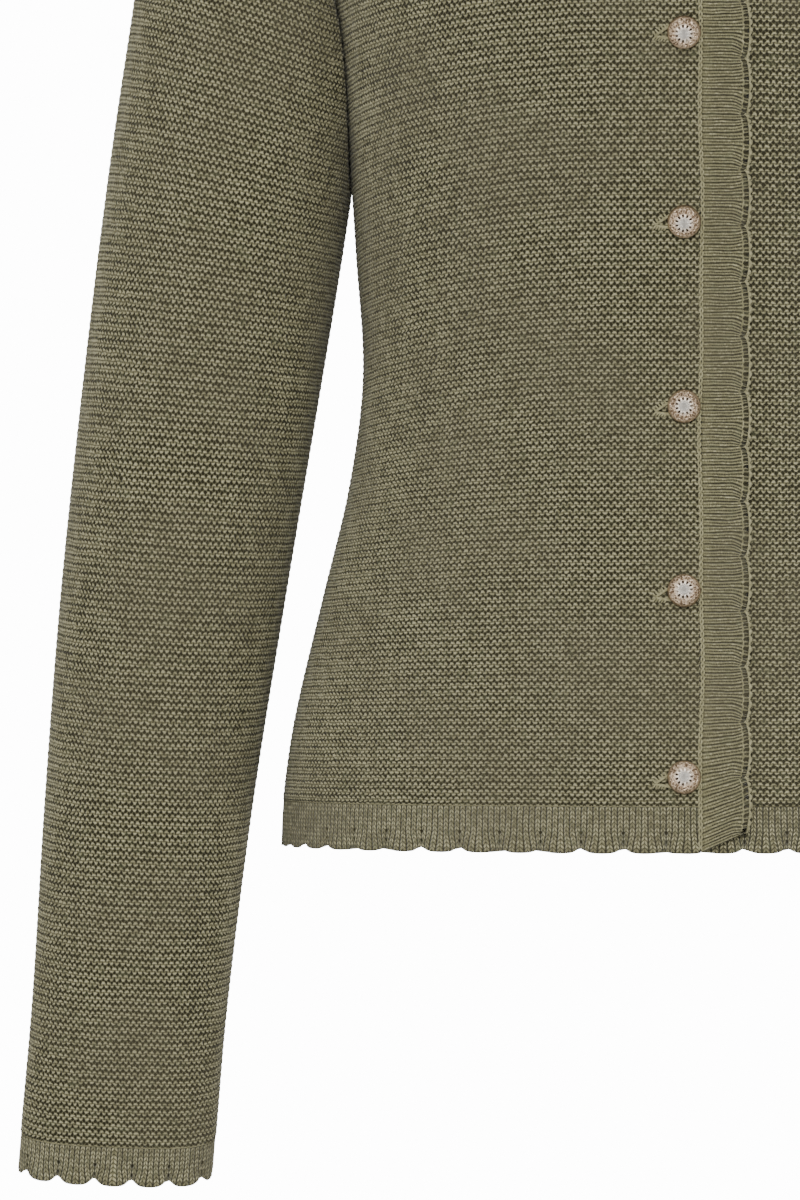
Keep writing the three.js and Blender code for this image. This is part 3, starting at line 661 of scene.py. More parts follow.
def shell(outer, inner, outer_uv, inner_uv, chains, split, garter):
    """Points, faces and uvs of a closed shell; chains pair outer and inner (row, column) lists."""
    low = garter_height(outer_uv[..., 0], outer_uv[..., 1]) < 0.5 if garter else None
    points = np.concatenate([outer.reshape(-1, 3), inner.reshape(-1, 3)])
    uvs = np.concatenate([outer_uv.reshape(-1, 2), inner_uv.reshape(-1, 2)])
    base = outer.shape[0] * outer.shape[1]
    parts = []
    for grid, start, flip in ((outer, 0, False), (inner, base, True)):
        faces = grid_faces(grid.shape, start, flip, None if flip else low)
        if split:
            quads = (grid.shape[0] - 1) * (grid.shape[1] - 1)
            column = np.tile(np.arange(quads) % (grid.shape[1] - 1), 2)
            faces = faces[column != grid.shape[1] // 2 - 1]
        parts.append(faces)
    for fine, coarse in chains:
        fine_ids = np.ravel_multi_index(np.transpose(fine), outer.shape[:2])
        coarse_ids = base + np.ravel_multi_index(np.transpose(coarse), inner.shape[:2])
        parts.append(zip_chains(points, fine_ids, coarse_ids))
    return points, np.concatenate(parts), uvs


def run(first, last):
    step = 1 if last >= first else -1
    return range(first, last + step, step)


def column_chain(first, last, column):
    return [(r, column) for r in run(first, last)]


def row_chain(first, last, row):
    return [(row, c) for c in run(first, last)]


def panel_sides(shape, full):
    """The edges of a panel, or of a tube whose side columns meet up to the row named full."""
    r, c = shape[0] - 1, shape[1] - 1
    return [
        row_chain(0, c, 0),
        column_chain(full, r, c),
        row_chain(c, 0, r),
        column_chain(r, full, 0),
    ]


def back_sides(shape, full):
    """The edges of the back, whose two middle columns meet up to the row named full."""
    r, c = shape[0] - 1, shape[1] - 1
    half = shape[1] // 2
    return [
        row_chain(0, c, 0),
        column_chain(0, r, c),
        row_chain(c, half, r),
        column_chain(r, full, half),
        column_chain(full, r, half - 1),
        row_chain(half - 1, 0, r),
        column_chain(r, 0, 0),
    ]


def ring_sides(shape, _):
    """The two open ends of a closed ring."""
    return [row_chain(0, shape[1] - 1, 0), row_chain(shape[1] - 1, 0, shape[0] - 1)]


def mirrored_chain(chain, columns):
    return [(r, columns - 1 - c) for r, c in chain][::-1]


def garter_grids(grids, stitch):
    """Displaced outer grid and inner grid of a garter panel with their knit coordinates."""
    fine, coarse = grids
    u = fine["arc"] / stitch
    v = np.broadcast_to(fine["number"][:, None], u.shape)
    lift = RELIEF * (garter_height(u, v) - 0.75) * smooth_step(fine["near"] / EDGE_FADE)
    outer = fine["place"] + fine["out"] * lift[..., None]
    outer_uv = np.stack([u, v], -1)
    u_in = coarse["arc"] / stitch
    inner_uv = np.stack([u_in, np.broadcast_to(coarse["number"][:, None], u_in.shape)], -1)
    inner = coarse["place"] - coarse["out"] * GARTER_WALL
    return outer, inner, outer_uv, inner_uv


def mirror(grid):
    flipped = grid[:, ::-1].copy()
    flipped[..., 0] *= -1
    return flipped


def add_shell(name, parts, material, mirrored=False, sides=panel_sides, full=(0, 0), garter=False):
    outer, inner, outer_uv, inner_uv = parts
    chains = list(zip(sides(outer.shape, full[0]), sides(inner.shape, full[1])))
    if mirrored:
        chains = [
            (mirrored_chain(a, outer.shape[1]), mirrored_chain(b, inner.shape[1]))
            for a, b in chains
        ]
        outer, inner = mirror(outer), mirror(inner)
        outer_uv, inner_uv = outer_uv[:, ::-1].copy(), inner_uv[:, ::-1].copy()
    built = shell(outer, inner, outer_uv, inner_uv, chains, sides is back_sides, garter)
    return mesh_piece(name, *built, material)


def add_panel(name, grids, stitch, sides, mirrored):
    full_rows = [grid.get("full_row", 0) for grid in grids]
    parts = garter_grids(grids, stitch)
    return add_shell(name, parts, garter_material, mirrored, sides, full_rows, True)


def plain_material(name, colour, rough, metal=0.0):
    material = bpy.data.materials.new(name)
    material.use_nodes = True
    shader = material.node_tree.nodes["Principled BSDF"]
    shader.inputs["Base Color"].default_value = (*colour, 1)
    shader.inputs["Roughness"].default_value = rough
    shader.inputs["Metallic"].default_value = metal
    return material


class Value:
    """An output of a shader node. Sums of values, and the calls here, add more nodes."""

    def __init__(self, tree, socket):
        self.tree = tree
        self.socket = socket

    def math(self, operation, *others, clamp=False):
        inputs = dict(enumerate((self, *others)))
        return add_node(self.tree, "Math", inputs, operation=operation, use_clamp=clamp)

    def __add__(self, other):
        return self.math("ADD", other)

    def __sub__(self, other):
        return self.math("SUBTRACT", other)

    def __mul__(self, other):
        return self.math("MULTIPLY", other)

    def ramp(self, low, high, out_low=0.0, out_high=1.0):
        inputs = dict(enumerate((self, low, high, out_low, out_high)))
        return add_node(self.tree, "MapRange", inputs, interpolation_type="SMOOTHSTEP")

    def wave(self):
        return (self * (2 * math.pi)).math("COSINE")

    def off_line(self):
        """Distance to the nearest whole number, with its sign, from -0.5 to 0.5."""
        return (self + 0.5).math("FRACT") - 0.5

    def off(self):
        return self.off_line().math("ABSOLUTE")

    def noise(self, scale, detail, rough):
        inputs = {"Vector": self, "Scale": scale, "Detail": detail, "Roughness": rough}
        return add_node(self.tree, "TexNoise", inputs)

    def centred(self, size):
        """A noise moved to run about zero, times a size."""
        return (self - 0.5) * size

    def axis(self, number):
        return add_node(self.tree, "SeparateXYZ", {0: self}, number)


def add_node(tree, kind, inputs, output=0, **settings):
    """Add a shader node, set or link its inputs, and return one of its outputs."""
    node = tree.nodes.new("ShaderNode" + kind)
    for name, setting in settings.items():
        setattr(node, name, setting)
    for key, value in inputs.items():
        if isinstance(value, Value):
            tree.links.new(value.socket, node.inputs[key])
        else:
            node.inputs[key].default_value = value
    return Value(tree, node.outputs[output])


def join(x, y, z):
    return add_node(x.tree, "CombineXYZ", {0: x, 1: y, 2: z})


def mix(share, low, high):
    inputs = {0: share, 6: low, 7: high}
    for key in (6, 7):
        if not isinstance(inputs[key], Value):
            inputs[key] = (*inputs[key], 1)
    return add_node(share.tree, "Mix", inputs, 2, data_type="RGBA")


def knit_place(tree):
    place = add_node(tree, "UVMap", {}, uv_map="knit")
    return place.axis(0), place.axis(1)


def object_place(tree):
    return add_node(tree, "TexCoord", {}, "Object")


def paint(colour, height, distance):
    """Give a material its colour and its bumps."""
    shader = colour.tree.nodes["Principled BSDF"]
    inputs = {"Strength": 1.0, "Distance": distance, "Height": height}
    bump = add_node(colour.tree, "Bump", inputs)
    colour.tree.links.new(colour.socket, shader.inputs["Base Color"])
    colour.tree.links.new(bump.socket, shader.inputs["Normal"])


# The gap colour is painted shade in the knit's holes and grooves; the pale colour is a painted highlight on
# the tops of the loops, and in the thread a pale fibre tone.
GAP_SHADE_COLOUR = (0.026, 0.023, 0.008)
YARN_COLOUR = (0.222, 0.206, 0.108)
PALE_FIBRE_AND_HIGHLIGHT_COLOUR = (0.46, 0.43, 0.255)
GREEN_COLOUR = (0.20, 0.215, 0.115)
BROWN_COLOUR = (0.13, 0.115, 0.07)
WOOL_BUMP = 0.0007
FINE_BUMP = 0.0003
LOOP_WIDTH = 0.47
LOOP_HEIGHT = 0.21
LOOP_BEND = 1.1
BUTTON_COLOUR = (0.8, 0.7, 0.6)
SILVER = (1.0, 0.94, 0.84)
GOLD = (0.82, 0.64, 0.46)
TARNISH_AND_DARK_REFLECTION = (0.20, 0.12, 0.07)
HOLE_SHADE_COLOUR = (0.05, 0.03, 0.018)
HOLES = 11
HOLE_RING = 0.45
SCROLLS = 16
SCROLL_LEAN = 9
PETALS = 16


def wool(name):
    """A wool material and its knit coordinates."""
    material = plain_material(name, YARN_COLOUR, 0.9)
    shader = material.node_tree.nodes["Principled BSDF"]
    shader.inputs["Specular IOR Level"].default_value = 0.25
    shader.inputs["Sheen Weight"].default_value = 0.15
    shader.inputs["Sheen Roughness"].default_value = 0.5
    return material, *knit_place(material.node_tree)


def finish_wool(height, shade):
    """Yarn colour by how high the strand lies: the low places are painted shade and the high ones a painted
    highlight, with melange and slow changes of tone.
    """
    spot = object_place(height.tree)
    fibre = spot.noise(1400, 3, 0.6)
    lit = shade.math("ADD", fibre.centred(0.35), clamp=True)
    # Low strands take the dark colour as painted shade, high ones the pale colour as a painted highlight.
    base = mix(lit.ramp(0.0, 0.62), GAP_SHADE_COLOUR, YARN_COLOUR)
    base = mix(lit.ramp(0.6, 1.0), base, PALE_FIBRE_AND_HIGHLIGHT_COLOUR)
    green = mix(spot.noise(320, 2, 0.5).ramp(0.52, 0.72, 0.0, 0.22), base, GREEN_COLOUR)
    tone = mix(spot.noise(22, 2, 0.5).ramp(0.35, 0.7, 0.0, 0.3), green, BROWN_COLOUR)
    paint(tone, height + fibre.centred(0.25), WOOL_BUMP)


def warped(u, v, amount):
    """The knit coordinates with the unevenness of real stitches, wide and stitch by stitch."""
    moved = []
    for coordinate, cell in ((u, join(u, v, 0.0)), (v, join(v, u, 7.0))):
        wide = cell.noise(0.23, 2, 0.6).centred(amount * 2.4)
        near = cell.noise(1.15, 1, 0.5).centred(amount * 2.8)
        moved.append(coordinate + (wide + near))
    return moved


def loop_distance(across, up, bend):
    """How far a place is from the middle of a bent, oval loop, 1 at its rim."""
    side = across * across
    risen = up + side * bend
    return (side * (1 / LOOP_WIDTH**2) + risen * risen * (1 / LOOP_HEIGHT**2)).math("SQRT")


def garter_wool(name):
    """Staggered purl loops with lower strands between, painted darker as shade; the groove under each ridge
    is painted shade too. u counts stitches and v ridges.
    """
    material, u, v = wool(name)
    u, v = warped(u, v, 0.14)
    upper = loop_distance(u.off_line(), v.off_line(), LOOP_BEND)
    lower = loop_distance((u + 0.5).off_line(), (v + 0.5).off_line(), -LOOP_BEND)
    loops = upper.math("MINIMUM", lower).ramp(0.4, 1.25, 1.0, 0.0)
    # The strands lie lower, so the colour paints them darker as shade.
    strand = (u + v).off().math("MINIMUM", (u - v).off()).ramp(0.04, 0.17, 0.55, 0.0)
    # The groove is a bump and, since the colour follows the height, also painted shade.
    groove = (v - 0.27).off().ramp(0.02, 0.17, 0.52, 1.0)
    height = loops.math("MAXIMUM", strand) * groove
    uneven = join(v, u, 3.0).noise(0.9, 1, 0.5)
    finish_wool(height, height * uneven.ramp(0.3, 0.7, 0.78, 1.12))
    return material


def jersey_wool(name):
    """Upright V stitches; u counts the wales and v the courses. Eyelets lie over each notch. The gaps between
    and inside the wales and the eyelets are painted darker as shade.
    """
    material, u, v = wool(name)
    u, v = warped(u, v, 0.08)
    side = (u + 0.5).off()
    strand = (v + side * 1.8).off().ramp(0.2, 0.5, 1.0, 0.0)
    # The gap between wales and the middle of each wale are painted shade.
    gap = side.ramp(0.32, 0.5, 1.0, 0.0)
    middle = side.ramp(0.0, 0.13, 0.5, 1.0)
    height = gap * middle * (strand * 0.7 + 0.3)
    across = (u * (1 / WALES)).off_line() * BORDER_SCALLOP
    # Each eyelet is painted dark as shade in its hole, over a small pressed dip in the mesh.
    for level in EYELET_HEIGHTS:
        up = v * COURSE - level
        height = height * (across * across + up * up).ramp(0.15, 0.9)
    uneven = join(v, u, 3.0).noise(0.9, 1, 0.5)
    shade = height * uneven.ramp(0.3, 0.7, 0.62, 0.98)
    finish_wool(height, shade * v.ramp(0.3, 1.4, 0.66, 1.0))
    return material


def rib_wool(name):
    """Fine ribs across the trims; v counts the ribs and u runs from the seam (0) to the edge (1). The grooves
    between ribs are painted darker as shade, more so towards the edge, and the eyelet bays by the edge are
    painted dark as shade.
    """
    material, u, v = wool(name)
    v = v + join(u * 3.0, v, 0.0).noise(0.5, 3, 0.6).centred(0.55)
    dots = (u * 20.0 + v).off().ramp(0.1, 0.42)
    # The groove floor is painted darker towards the edge as shade.
    floor = u.ramp(0.04, 0.3, 0.5, 0.12) + dots * 0.35
    height = (v * 2.0).off().ramp(0.04, 0.34)
    height = height + (height * -1.0 + 1.0) * floor
    height = height * v.off().ramp(0.02, 0.2, 0.45, 1.0)
    # Painted shade in the eyelet bays next to the edge strand.
    beside = (v + 0.5).off().ramp(0.14, 0.3, 0.1, 1.0)
    inside = u.ramp(0.885, 0.915, 1.0, 0.0)
    height = height * beside.math("MAXIMUM", inside)
    chain = (u - 0.865).math("ABSOLUTE").ramp(0.012, 0.03, 1.0, 0.0)
    height = height.math("MAXIMUM", chain * 0.95)
    uneven = join(u * 5.0, v * 2.2, 3.0).noise(0.9, 3, 0.7)
    loops = join(u * 26.0, v * 2.0, 9.0).noise(1.0, 1, 0.5)
    patchy = uneven.ramp(0.3, 0.7, 0.64, 0.88) * loops.ramp(0.3, 0.7, 0.66, 1.05)
    finish_wool(height, height * patchy)
    return material


def thread_wool(name):
    material, *_ = wool(name)
    fibre = object_place(material.node_tree).noise(900, 3, 0.6)
    paint(mix(fibre.ramp(0.3, 0.75, 0.0, 0.75), YARN_COLOUR, PALE_FIBRE_AND_HIGHLIGHT_COLOUR), fibre, FINE_BUMP)
    return material


def button_look(name):
    """Old silver with tarnish in its hollows, a painted reflection that turns darker and browner towards the
    rim, and painted shade in its holes; u is the turn round the button and v the distance from its middle, 0
    to 1.
    """
    material = plain_material(name, BUTTON_COLOUR, 0.38, 1.0)
    u, v = knit_place(material.node_tree)
    spot = object_place(material.node_tree)
    # The filigree's holes are painted dark as shade, over shallow dips in the mesh.
    ring = (v - HOLE_RING).math("ABSOLUTE").ramp(0.07, 0.11, 1.0, 0.0)
    hole_shade = (u * HOLES).off().ramp(0.16, 0.28, 1.0, 0.0) * ring
    hole_shade = hole_shade * spot.noise(260, 1, 0.5).ramp(0.35, 0.5, 0.35, 1.0)
    lean = v * (SCROLL_LEAN / (2 * math.pi))
    curl = spot.noise(520, 1, 0.5).centred(2.6)
    one_way = (u * SCROLLS + lean + curl).wave()
    other_way = (u * SCROLLS - (lean + curl)).wave()
    outer = v.ramp(0.55, 0.6) * v.ramp(0.9, 0.94, 1.0, 0.0)
    scroll = one_way.math("MAXIMUM", other_way) * outer
    worn = spot.noise(1500, 3, 0.6)
    hollow = (scroll + worn * 0.8).ramp(0.0, 0.8, 0.8, 0.0) * outer
    # Silver in the middle turning gold outwards: the metal's two tones, and also a painted reflection, paler
    # in the middle and darker towards the rim. The hollows of the scrolls take tarnish.
    tone = mix(hollow, mix(v.ramp(0.2, 0.65), SILVER, GOLD), TARNISH_AND_DARK_REFLECTION)
    # The rim is painted dark as a reflection of darker surroundings.
    tone = mix(v.ramp(0.9, 0.99, 0.0, 0.8), tone, TARNISH_AND_DARK_REFLECTION)
    petals = (u * PETALS).wave() * v.ramp(0.3, 0.36, 0.6, 0.0)
    rough = worn * v.ramp(0.1, 0.5, 0.8, 1.1)
    paint(mix(hole_shade, tone, HOLE_SHADE_COLOUR), scroll + petals + rough, FINE_BUMP)
    return material


garter_material = garter_wool("garter")
jersey_material = jersey_wool("jersey")
rib_material = rib_wool("rib")
thread_material = thread_wool("thread")
button_material = button_look("silver")


def dress(piece, node=None):
    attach(piece, "root")
    if node:
        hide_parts(node)


left_grids = front_sheet(0, 2, 1)
right_grids = front_sheet(LAP_LIFT, 2, 2)
back_grids = back_sheet(2, 1)
sleeve_grids = sleeve_sheet(2, 2)
sleeve_low = sleeve_sheet(2, 1)
panels = [
    ("right_front", "front_right", right_grids, STITCH, panel_sides, True),
    ("left_front", "front_left", left_grids, STITCH, panel_sides, False),
    ("back_panel", "back", back_grids, STITCH, back_sides, False),
    ("right_sleeve", "sleeve_right", sleeve_grids, SLEEVE_STITCH, panel_sides, True),
    ("left_sleeve", "sleeve_left", sleeve_low, SLEEVE_STITCH, panel_sides, False),
]
for name, node, *panel in panels:
    dress(add_panel(name, *panel), node)

# Trims and borders
RIBS = 9
RIB_ROWS = 6
STRAND_ROWS = 5
NOTCH_POWER = 0.38
BUNCHING = 0.105
TRIM_BUNCHING = (1.1, 0.4)
WALE_RELIEF = 0.25
EDGE_STRAND = 0.55
STRAND_SIDES = 6
STRAND_SINK = 0.8
STRAND_SWAY = 0.25
STRAND_BEAD = 0.35
EYELET = 2.1
LINK = 2.4
LINK_STEPS = 6
LINK_WIDTH = 0.52
LINK_RISE = 0.25
LINK_RADIUS = 0.4
CHAIN_POINTS = 400
BORDER_ROWS = 22
BORDER_KEEP = 7
SEAM_THREAD = 0.42
SEAM_POINTS = 150
TRIM_SHARES = np.concatenate([[1, 0.965, 0.93], np.linspace(0.88, 0, 12)])


def notch_at(place, depth):
    return depth * (1 - np.abs(np.sin(math.pi * place)) ** NOTCH_POWER)


def round_notch_at(place, depth):
    """Narrow notches with a rounded top between curved scallops."""
    narrow = (0.5 + 0.5 * np.cos(2 * math.pi * place)) ** 5
    return depth * (0.6 * narrow + 0.4 * (1 - np.abs(np.sin(math.pi * place))))


def drawn_to_notch(place, share, above=1.0, below=1.0):
    """Places of ribs or wales, which bunch towards the notches where share is 1."""
    turn = np.sin(2 * math.pi * place)
    return place - BUNCHING * turn * share * np.where(turn > 0, above, below)


def ring_faces(index):
    """Triangles between rows of point numbers, each row a closed ring."""
    a, b = index[:-1], np.roll(index[:-1], -1, 1)
    d, c = index[1:], np.roll(index[1:], -1, 1)
    return [np.stack([a, d, b], -1).reshape(-1, 3), np.stack([b, d, c], -1).reshape(-1, 3)]


def fan(middle, ring, ahead):
    """Triangles from a middle point to a closed ring."""
    return np.stack([np.full(len(ring), middle), ring, np.roll(ring, -ahead)], -1)


def closed_rings(index):
    """Faces between rings, and over both ends, whose middle points come after the rings."""
    caps = [fan(index.size, index[0], 1), fan(index.size + 1, index[-1], -1)]
    return np.concatenate(ring_faces(index) + caps)


def tube(path, normals, radius, sides):
    """Points and faces of a thread along a path."""
    along = unit(np.gradient(path, axis=0))
    across = unit(np.cross(along, normals))
    out = np.cross(across, along)
    turn = np.linspace(0, 2 * math.pi, sides, endpoint=False)[None, :, None]
    ring = across[:, None] * np.cos(turn) + out[:, None] * np.sin(turn)
    points = path[:, None] + ring * np.broadcast_to(radius, len(path))[:, None, None]
    points = np.concatenate([points.reshape(-1, 3), path[:1], path[-1:]])
    return points, closed_rings(np.arange(len(path) * sides).reshape(-1, sides))


def add_threads(name, threads, sides=5, mirrored=False):
    """One piece from several threads; each is a path, its outward directions and a radius."""
    points, faces, uvs = [], [], []
    start = 0
    for path, normals, radius in threads:
        part, part_faces = tube(path, normals, radius, sides)
        points.append(part)
        faces.append(part_faces + start)
        arc = arc_lengths(path)
        ring = np.stack(np.broadcast_arrays(arc[:, None], np.arange(sides)[None, :]), -1)
        uvs.append(np.concatenate([ring.reshape(-1, 2), [[0, 0], [arc[-1], 0]]]))
        start += len(part)
    points, faces, uvs = (np.concatenate(part) for part in (points, faces, uvs))
    if mirrored:
        points[:, 0] *= -1
        faces = faces[:, ::-1]
    return mesh_piece(name, points, faces, uvs, thread_material)


def add_chain(name, path, normals, mirrored=False):
    """Two strands that cross once a link, lying on a path: a chain stitch seen from outside."""
    arc = arc_lengths(path)
    links = max(2, round(arc[-1] / LINK))
    fine = np.linspace(0, arc[-1], links * LINK_STEPS + 1)
    middle = along_path(fine, arc, path)
    out = unit(along_path(fine, arc, normals))
    across = unit(np.cross(np.gradient(middle, axis=0), out))
    phase = 2 * math.pi * links * np.linspace(0, 1, len(fine))
    strands = []
    for sign in (1, -1):
        side = sign * (np.abs(np.cos(phase / 2)) ** 0.7 * LINK_WIDTH)
        lift = LINK_RISE + sign * 0.35 * LINK_RADIUS * np.sin(phase)
        strands.append((middle + across * side[:, None] + out * lift[:, None], out, LINK_RADIUS))
    return add_threads(name, strands, mirrored=mirrored)


def front_of(x, z, lift):
    return torso_point(x, z, -1, lift)


def forward(path):
    """The way out of the front at each point of a path."""
    return np.broadcast_to(np.array([0.0, -1.0, 0.0]), path.shape)


def lifted_shell(place, uv, relief, keep_rows, keep_columns, ring=False):
    """Outer grid raised by the relief, and an inner grid of some of its rows and columns."""
    normals = dense_normals(place)
    if ring:
        seam = unit(normals[:, 0] + normals[:, -1])
        normals[:, 0] = seam
        normals[:, -1] = seam
    outer = place + normals * relief[..., None]
    keep = np.ix_(keep_rows, keep_columns)
    return outer, (place - normals * TRIM_WALL)[keep], uv, uv[keep]


def every(count, step):
    return np.unique(np.append(np.arange(0, count, step), count - 1))


def rib_relief(v, edge_share):
    """Broad ribs by the seam that part into two towards the edge."""
    broad = np.abs(np.sin(math.pi * v)) ** 0.6 - 1
    parted = np.abs(np.sin(2 * math.pi * v)) ** 0.6 - 1
    outer = smooth_step((edge_share - 0.15) / 0.4)
    return 0.20 * broad * (1 - 0.35 * outer) + 0.10 * parted * outer


def trim_reach(width, v, edge_share):
    """How far out each row of a trim runs, with a small bay for each eyelet of its edge."""
    bay = EYELET * np.sin(math.pi * v) ** 4
    return (width - EDGE_STRAND) * edge_share - bay * smooth_step((edge_share - 0.84) / 0.16)


def edge_strand(name, path, out, beat, mirrored=False):
    thread = (path - out * EDGE_STRAND * STRAND_SINK, out, EDGE_STRAND * (1 - STRAND_BEAD * beat))
    return add_threads(name + "_edge", [thread], STRAND_SIDES, mirrored)


def front_trim(name, lift, mirrored):
    rows = TRIM_SCALLOPS * RIBS * RIB_ROWS + 1
    place = np.linspace(0, TRIM_SCALLOPS, rows)[:, None]
    edge_share = TRIM_SHARES[None, :]
    v = place * RIBS
    drawn = drawn_to_notch(place, smooth_step((edge_share - 0.62) / 0.38), *TRIM_BUNCHING)
    drop = TRIM_END_DROP * smooth_step(1 - place / TRIM_END_SCALLOPS)
    z = TRIM_END_Z + drawn * TRIM_SCALLOP - drop * (1 - edge_share)
    seam_x = -FRONT_EDGE - SEAM_GAP
    width = TRIM_WIDTH - notch_at(drawn, TRIM_NOTCH)
    points = front_of(seam_x - trim_reach(width, v, edge_share), z, lift)
    uv = np.stack(np.broadcast_arrays(edge_share, v), -1)
    keep = every(rows, 2 * RIB_ROWS), every(len(TRIM_SHARES), 5)
    trim = add_shell(name, lifted_shell(points, uv, rib_relief(v, edge_share), *keep), rib_material, mirrored)

    fine = np.linspace(0, TRIM_SCALLOPS, TRIM_SCALLOPS * RIBS * STRAND_ROWS + 1)
    drawn = drawn_to_notch(fine, 1, *TRIM_BUNCHING)
    reach = TRIM_WIDTH - notch_at(drawn, TRIM_NOTCH) - EDGE_STRAND
    beat = np.cos(2 * math.pi * fine * RIBS)
    path = front_of(seam_x - reach + STRAND_SWAY * beat, TRIM_END_Z + drawn * TRIM_SCALLOP, lift)
    return trim, edge_strand(name, path, forward(path), beat, mirrored)


def front_chain(name, lift, mirrored):
    """The linking stitches between a front and its trim, wavering a little."""
    z = np.linspace(TRIM_END_Z - TRIM_END_DROP + 1.0, TRIM_TOP_Z - 1.0, CHAIN_POINTS)
    waver = 0.55 * np.sin(z / 24.0) + 0.35 * np.sin(z / 9.5 + 1.0)
    path = front_of(-FRONT_EDGE - SEAM_GAP / 2 + waver * 0.8, z, lift)
    return add_chain(name, path, forward(path), mirrored)


def even_turns(surface, z, first, last, count):
    """The turns at even shares of a border's length, as a function of the share."""
    turns = np.linspace(first, last, count)
    arcs = arc_lengths(surface(turns, np.full(count, z)))
    return lambda share: np.interp(share * arcs[-1], arcs, turns)


def border_eyelets(place, height):
    """How deep a border is pressed in at the two small eyelets over each notch."""
    across = (place - np.round(place)) * BORDER_SCALLOP
    depth = 0
    for middle in EYELET_HEIGHTS:
        depth = depth + np.exp(-(across**2 + (height - middle) ** 2) / 0.45)
    return depth


def jersey_border(name, surface, turns, start, end, base, top, notch, keep, mirrored, ring=False):
    """A border from one place to another along its edge, counted in scallops."""
    columns = round((end - start) * WALES * 4) + 1
    place = (start + (end - start) * np.linspace(0, 1, columns))[None, :]
    up = np.linspace(0, 1, BORDER_ROWS)[:, None]
    drawn = np.clip(drawn_to_notch(place, 0.7 * smooth_step(1 - up / 0.5)), start, end)
    bottom = base + round_notch_at(drawn, notch)
    z = bottom + (top - bottom) * up
    points = surface(turns((drawn - start) / (end - start)), z)
    u = place * WALES
    uv = np.stack(np.broadcast_arrays(u, (z - base) / COURSE), -1)
    relief = WALE_RELIEF * (np.abs(np.sin(math.pi * u)) ** 0.8 - 1) - border_eyelets(drawn, z - base)
    parts = lifted_shell(points, uv, relief, every(BORDER_ROWS, BORDER_KEEP), every(columns, keep), ring)
    return add_shell(name, parts, jersey_material, mirrored, ring_sides if ring else panel_sides)


def hem_border(name, facing, lift, mirrored):
    surface = lambda angle, z: section_point(angle, z, facing, lift)
    first, last, start, end = HALF_PI, -HALF_PI, 0, HEM_SCALLOPS_BACK
    if facing < 0:
        first, last = section_angle(HEM_Z, -FRONT_EDGE), HALF_PI
        start, end = HEM_FIRST_SCALLOP, HEM_SCALLOPS_FRONT
    turns = even_turns(surface, HEM_Z, first, last, 1200)
    top = HEM_SEAM_Z - SEAM_GAP / 2
    return jersey_border(name, surface, turns, start, end, HEM_Z, top, HEM_NOTCH, 16, mirrored)


def cuff_surface(turn, z):
    return sleeve_ring(z, turn)


CUFF_TURNS = even_turns(cuff_surface, CUFF_SEAM_Z, 0, 2 * math.pi, 401)


def cuff_border(name, mirrored):
    base, top = CUFF_SEAM_Z - CUFF_BORDER_HEIGHT, CUFF_SEAM_Z - EDGE_GAP
    ends = 0, CUFF_SCALLOPS, base, top, CUFF_NOTCH
    return jersey_border(name, cuff_surface, CUFF_TURNS, *ends, 14, mirrored, True)


def neck_trim(name):
    """The trim round the neck, its edge strand and the chain on its seam."""
    turn = np.linspace(0.02, HALF_PI, 160)
    front_x = NECK_X * np.sin(turn) ** (2 / NECK_FRONT_POWER)
    front_z = NECK_Z + (NECK_FRONT_Z - NECK_Z) * np.cos(turn) ** (2 / NECK_FRONT_POWER)
    front_x = np.concatenate([[-FRONT_EDGE], front_x])
    front_z = np.concatenate([[NECK_FRONT_Z], front_z])
    left = front_of(front_x, front_z, 0)
    right = front_of(front_x, front_z, LAP_LIFT)[::-1].copy()
    right[:, 0] *= -1
    sweep = np.linspace(HALF_PI, -HALF_PI, 240)
    back_x = NECK_X * signed_power(np.sin(sweep), 2 / NECK_BACK_POWER)
    back_z = NECK_Z + (NECK_BACK_Z - NECK_Z) * np.abs(np.cos(sweep)) ** (2 / NECK_BACK_POWER)
    path = np.concatenate([left[:-1], torso_point(back_x, back_z, 1), right[1:]])
    arcs = arc_lengths(path)
    scallops = round(arcs[-1] / TRIM_SCALLOP)

    def base_at(drawn):
        """Points of the neckline and the way the trim stands up there."""
        along = drawn / scallops * arcs[-1]
        base = along_path(along, arcs, path)
        return base, neck_trim_way(base)

    columns = scallops * RIBS * RIB_ROWS + 1
    place = np.linspace(0, scallops, columns)[None, :]
    up = TRIM_SHARES[::-1, None]
    drawn = drawn_to_notch(place, smooth_step((up - 0.6) / 0.4))
    v = place * RIBS
    reach = NECK_TRIM_HEIGHT - EDGE_GAP - notch_at(drawn, TRIM_NOTCH)
    base, way = base_at(drawn)
    points = base + way * (EDGE_GAP + trim_reach(reach, v, up))[..., None]
    uv = np.stack(np.broadcast_arrays(up, v), -1)
    keep = every(len(up), 5), every(columns, 2 * RIB_ROWS)
    trim = add_shell(name, lifted_shell(points, uv, rib_relief(v, up), *keep), rib_material)

    fine = np.linspace(0, scallops, scallops * RIBS * STRAND_ROWS + 1)
    drawn = drawn_to_notch(fine, 1)
    beat = np.cos(2 * math.pi * fine * RIBS)
    base, way = base_at(drawn)
    out = unit(np.cross(np.gradient(base, axis=0), way))
    reach = NECK_TRIM_HEIGHT - notch_at(drawn, TRIM_NOTCH) - EDGE_STRAND - STRAND_SWAY * beat
    edge = edge_strand(name, base + way * reach[:, None], out, beat)

    base, way = base_at(np.linspace(0, scallops, CHAIN_POINTS))
    out = unit(np.cross(np.gradient(base, axis=0), way))
    return trim, edge, add_chain("collar_chain", base + way * 0.15, out)


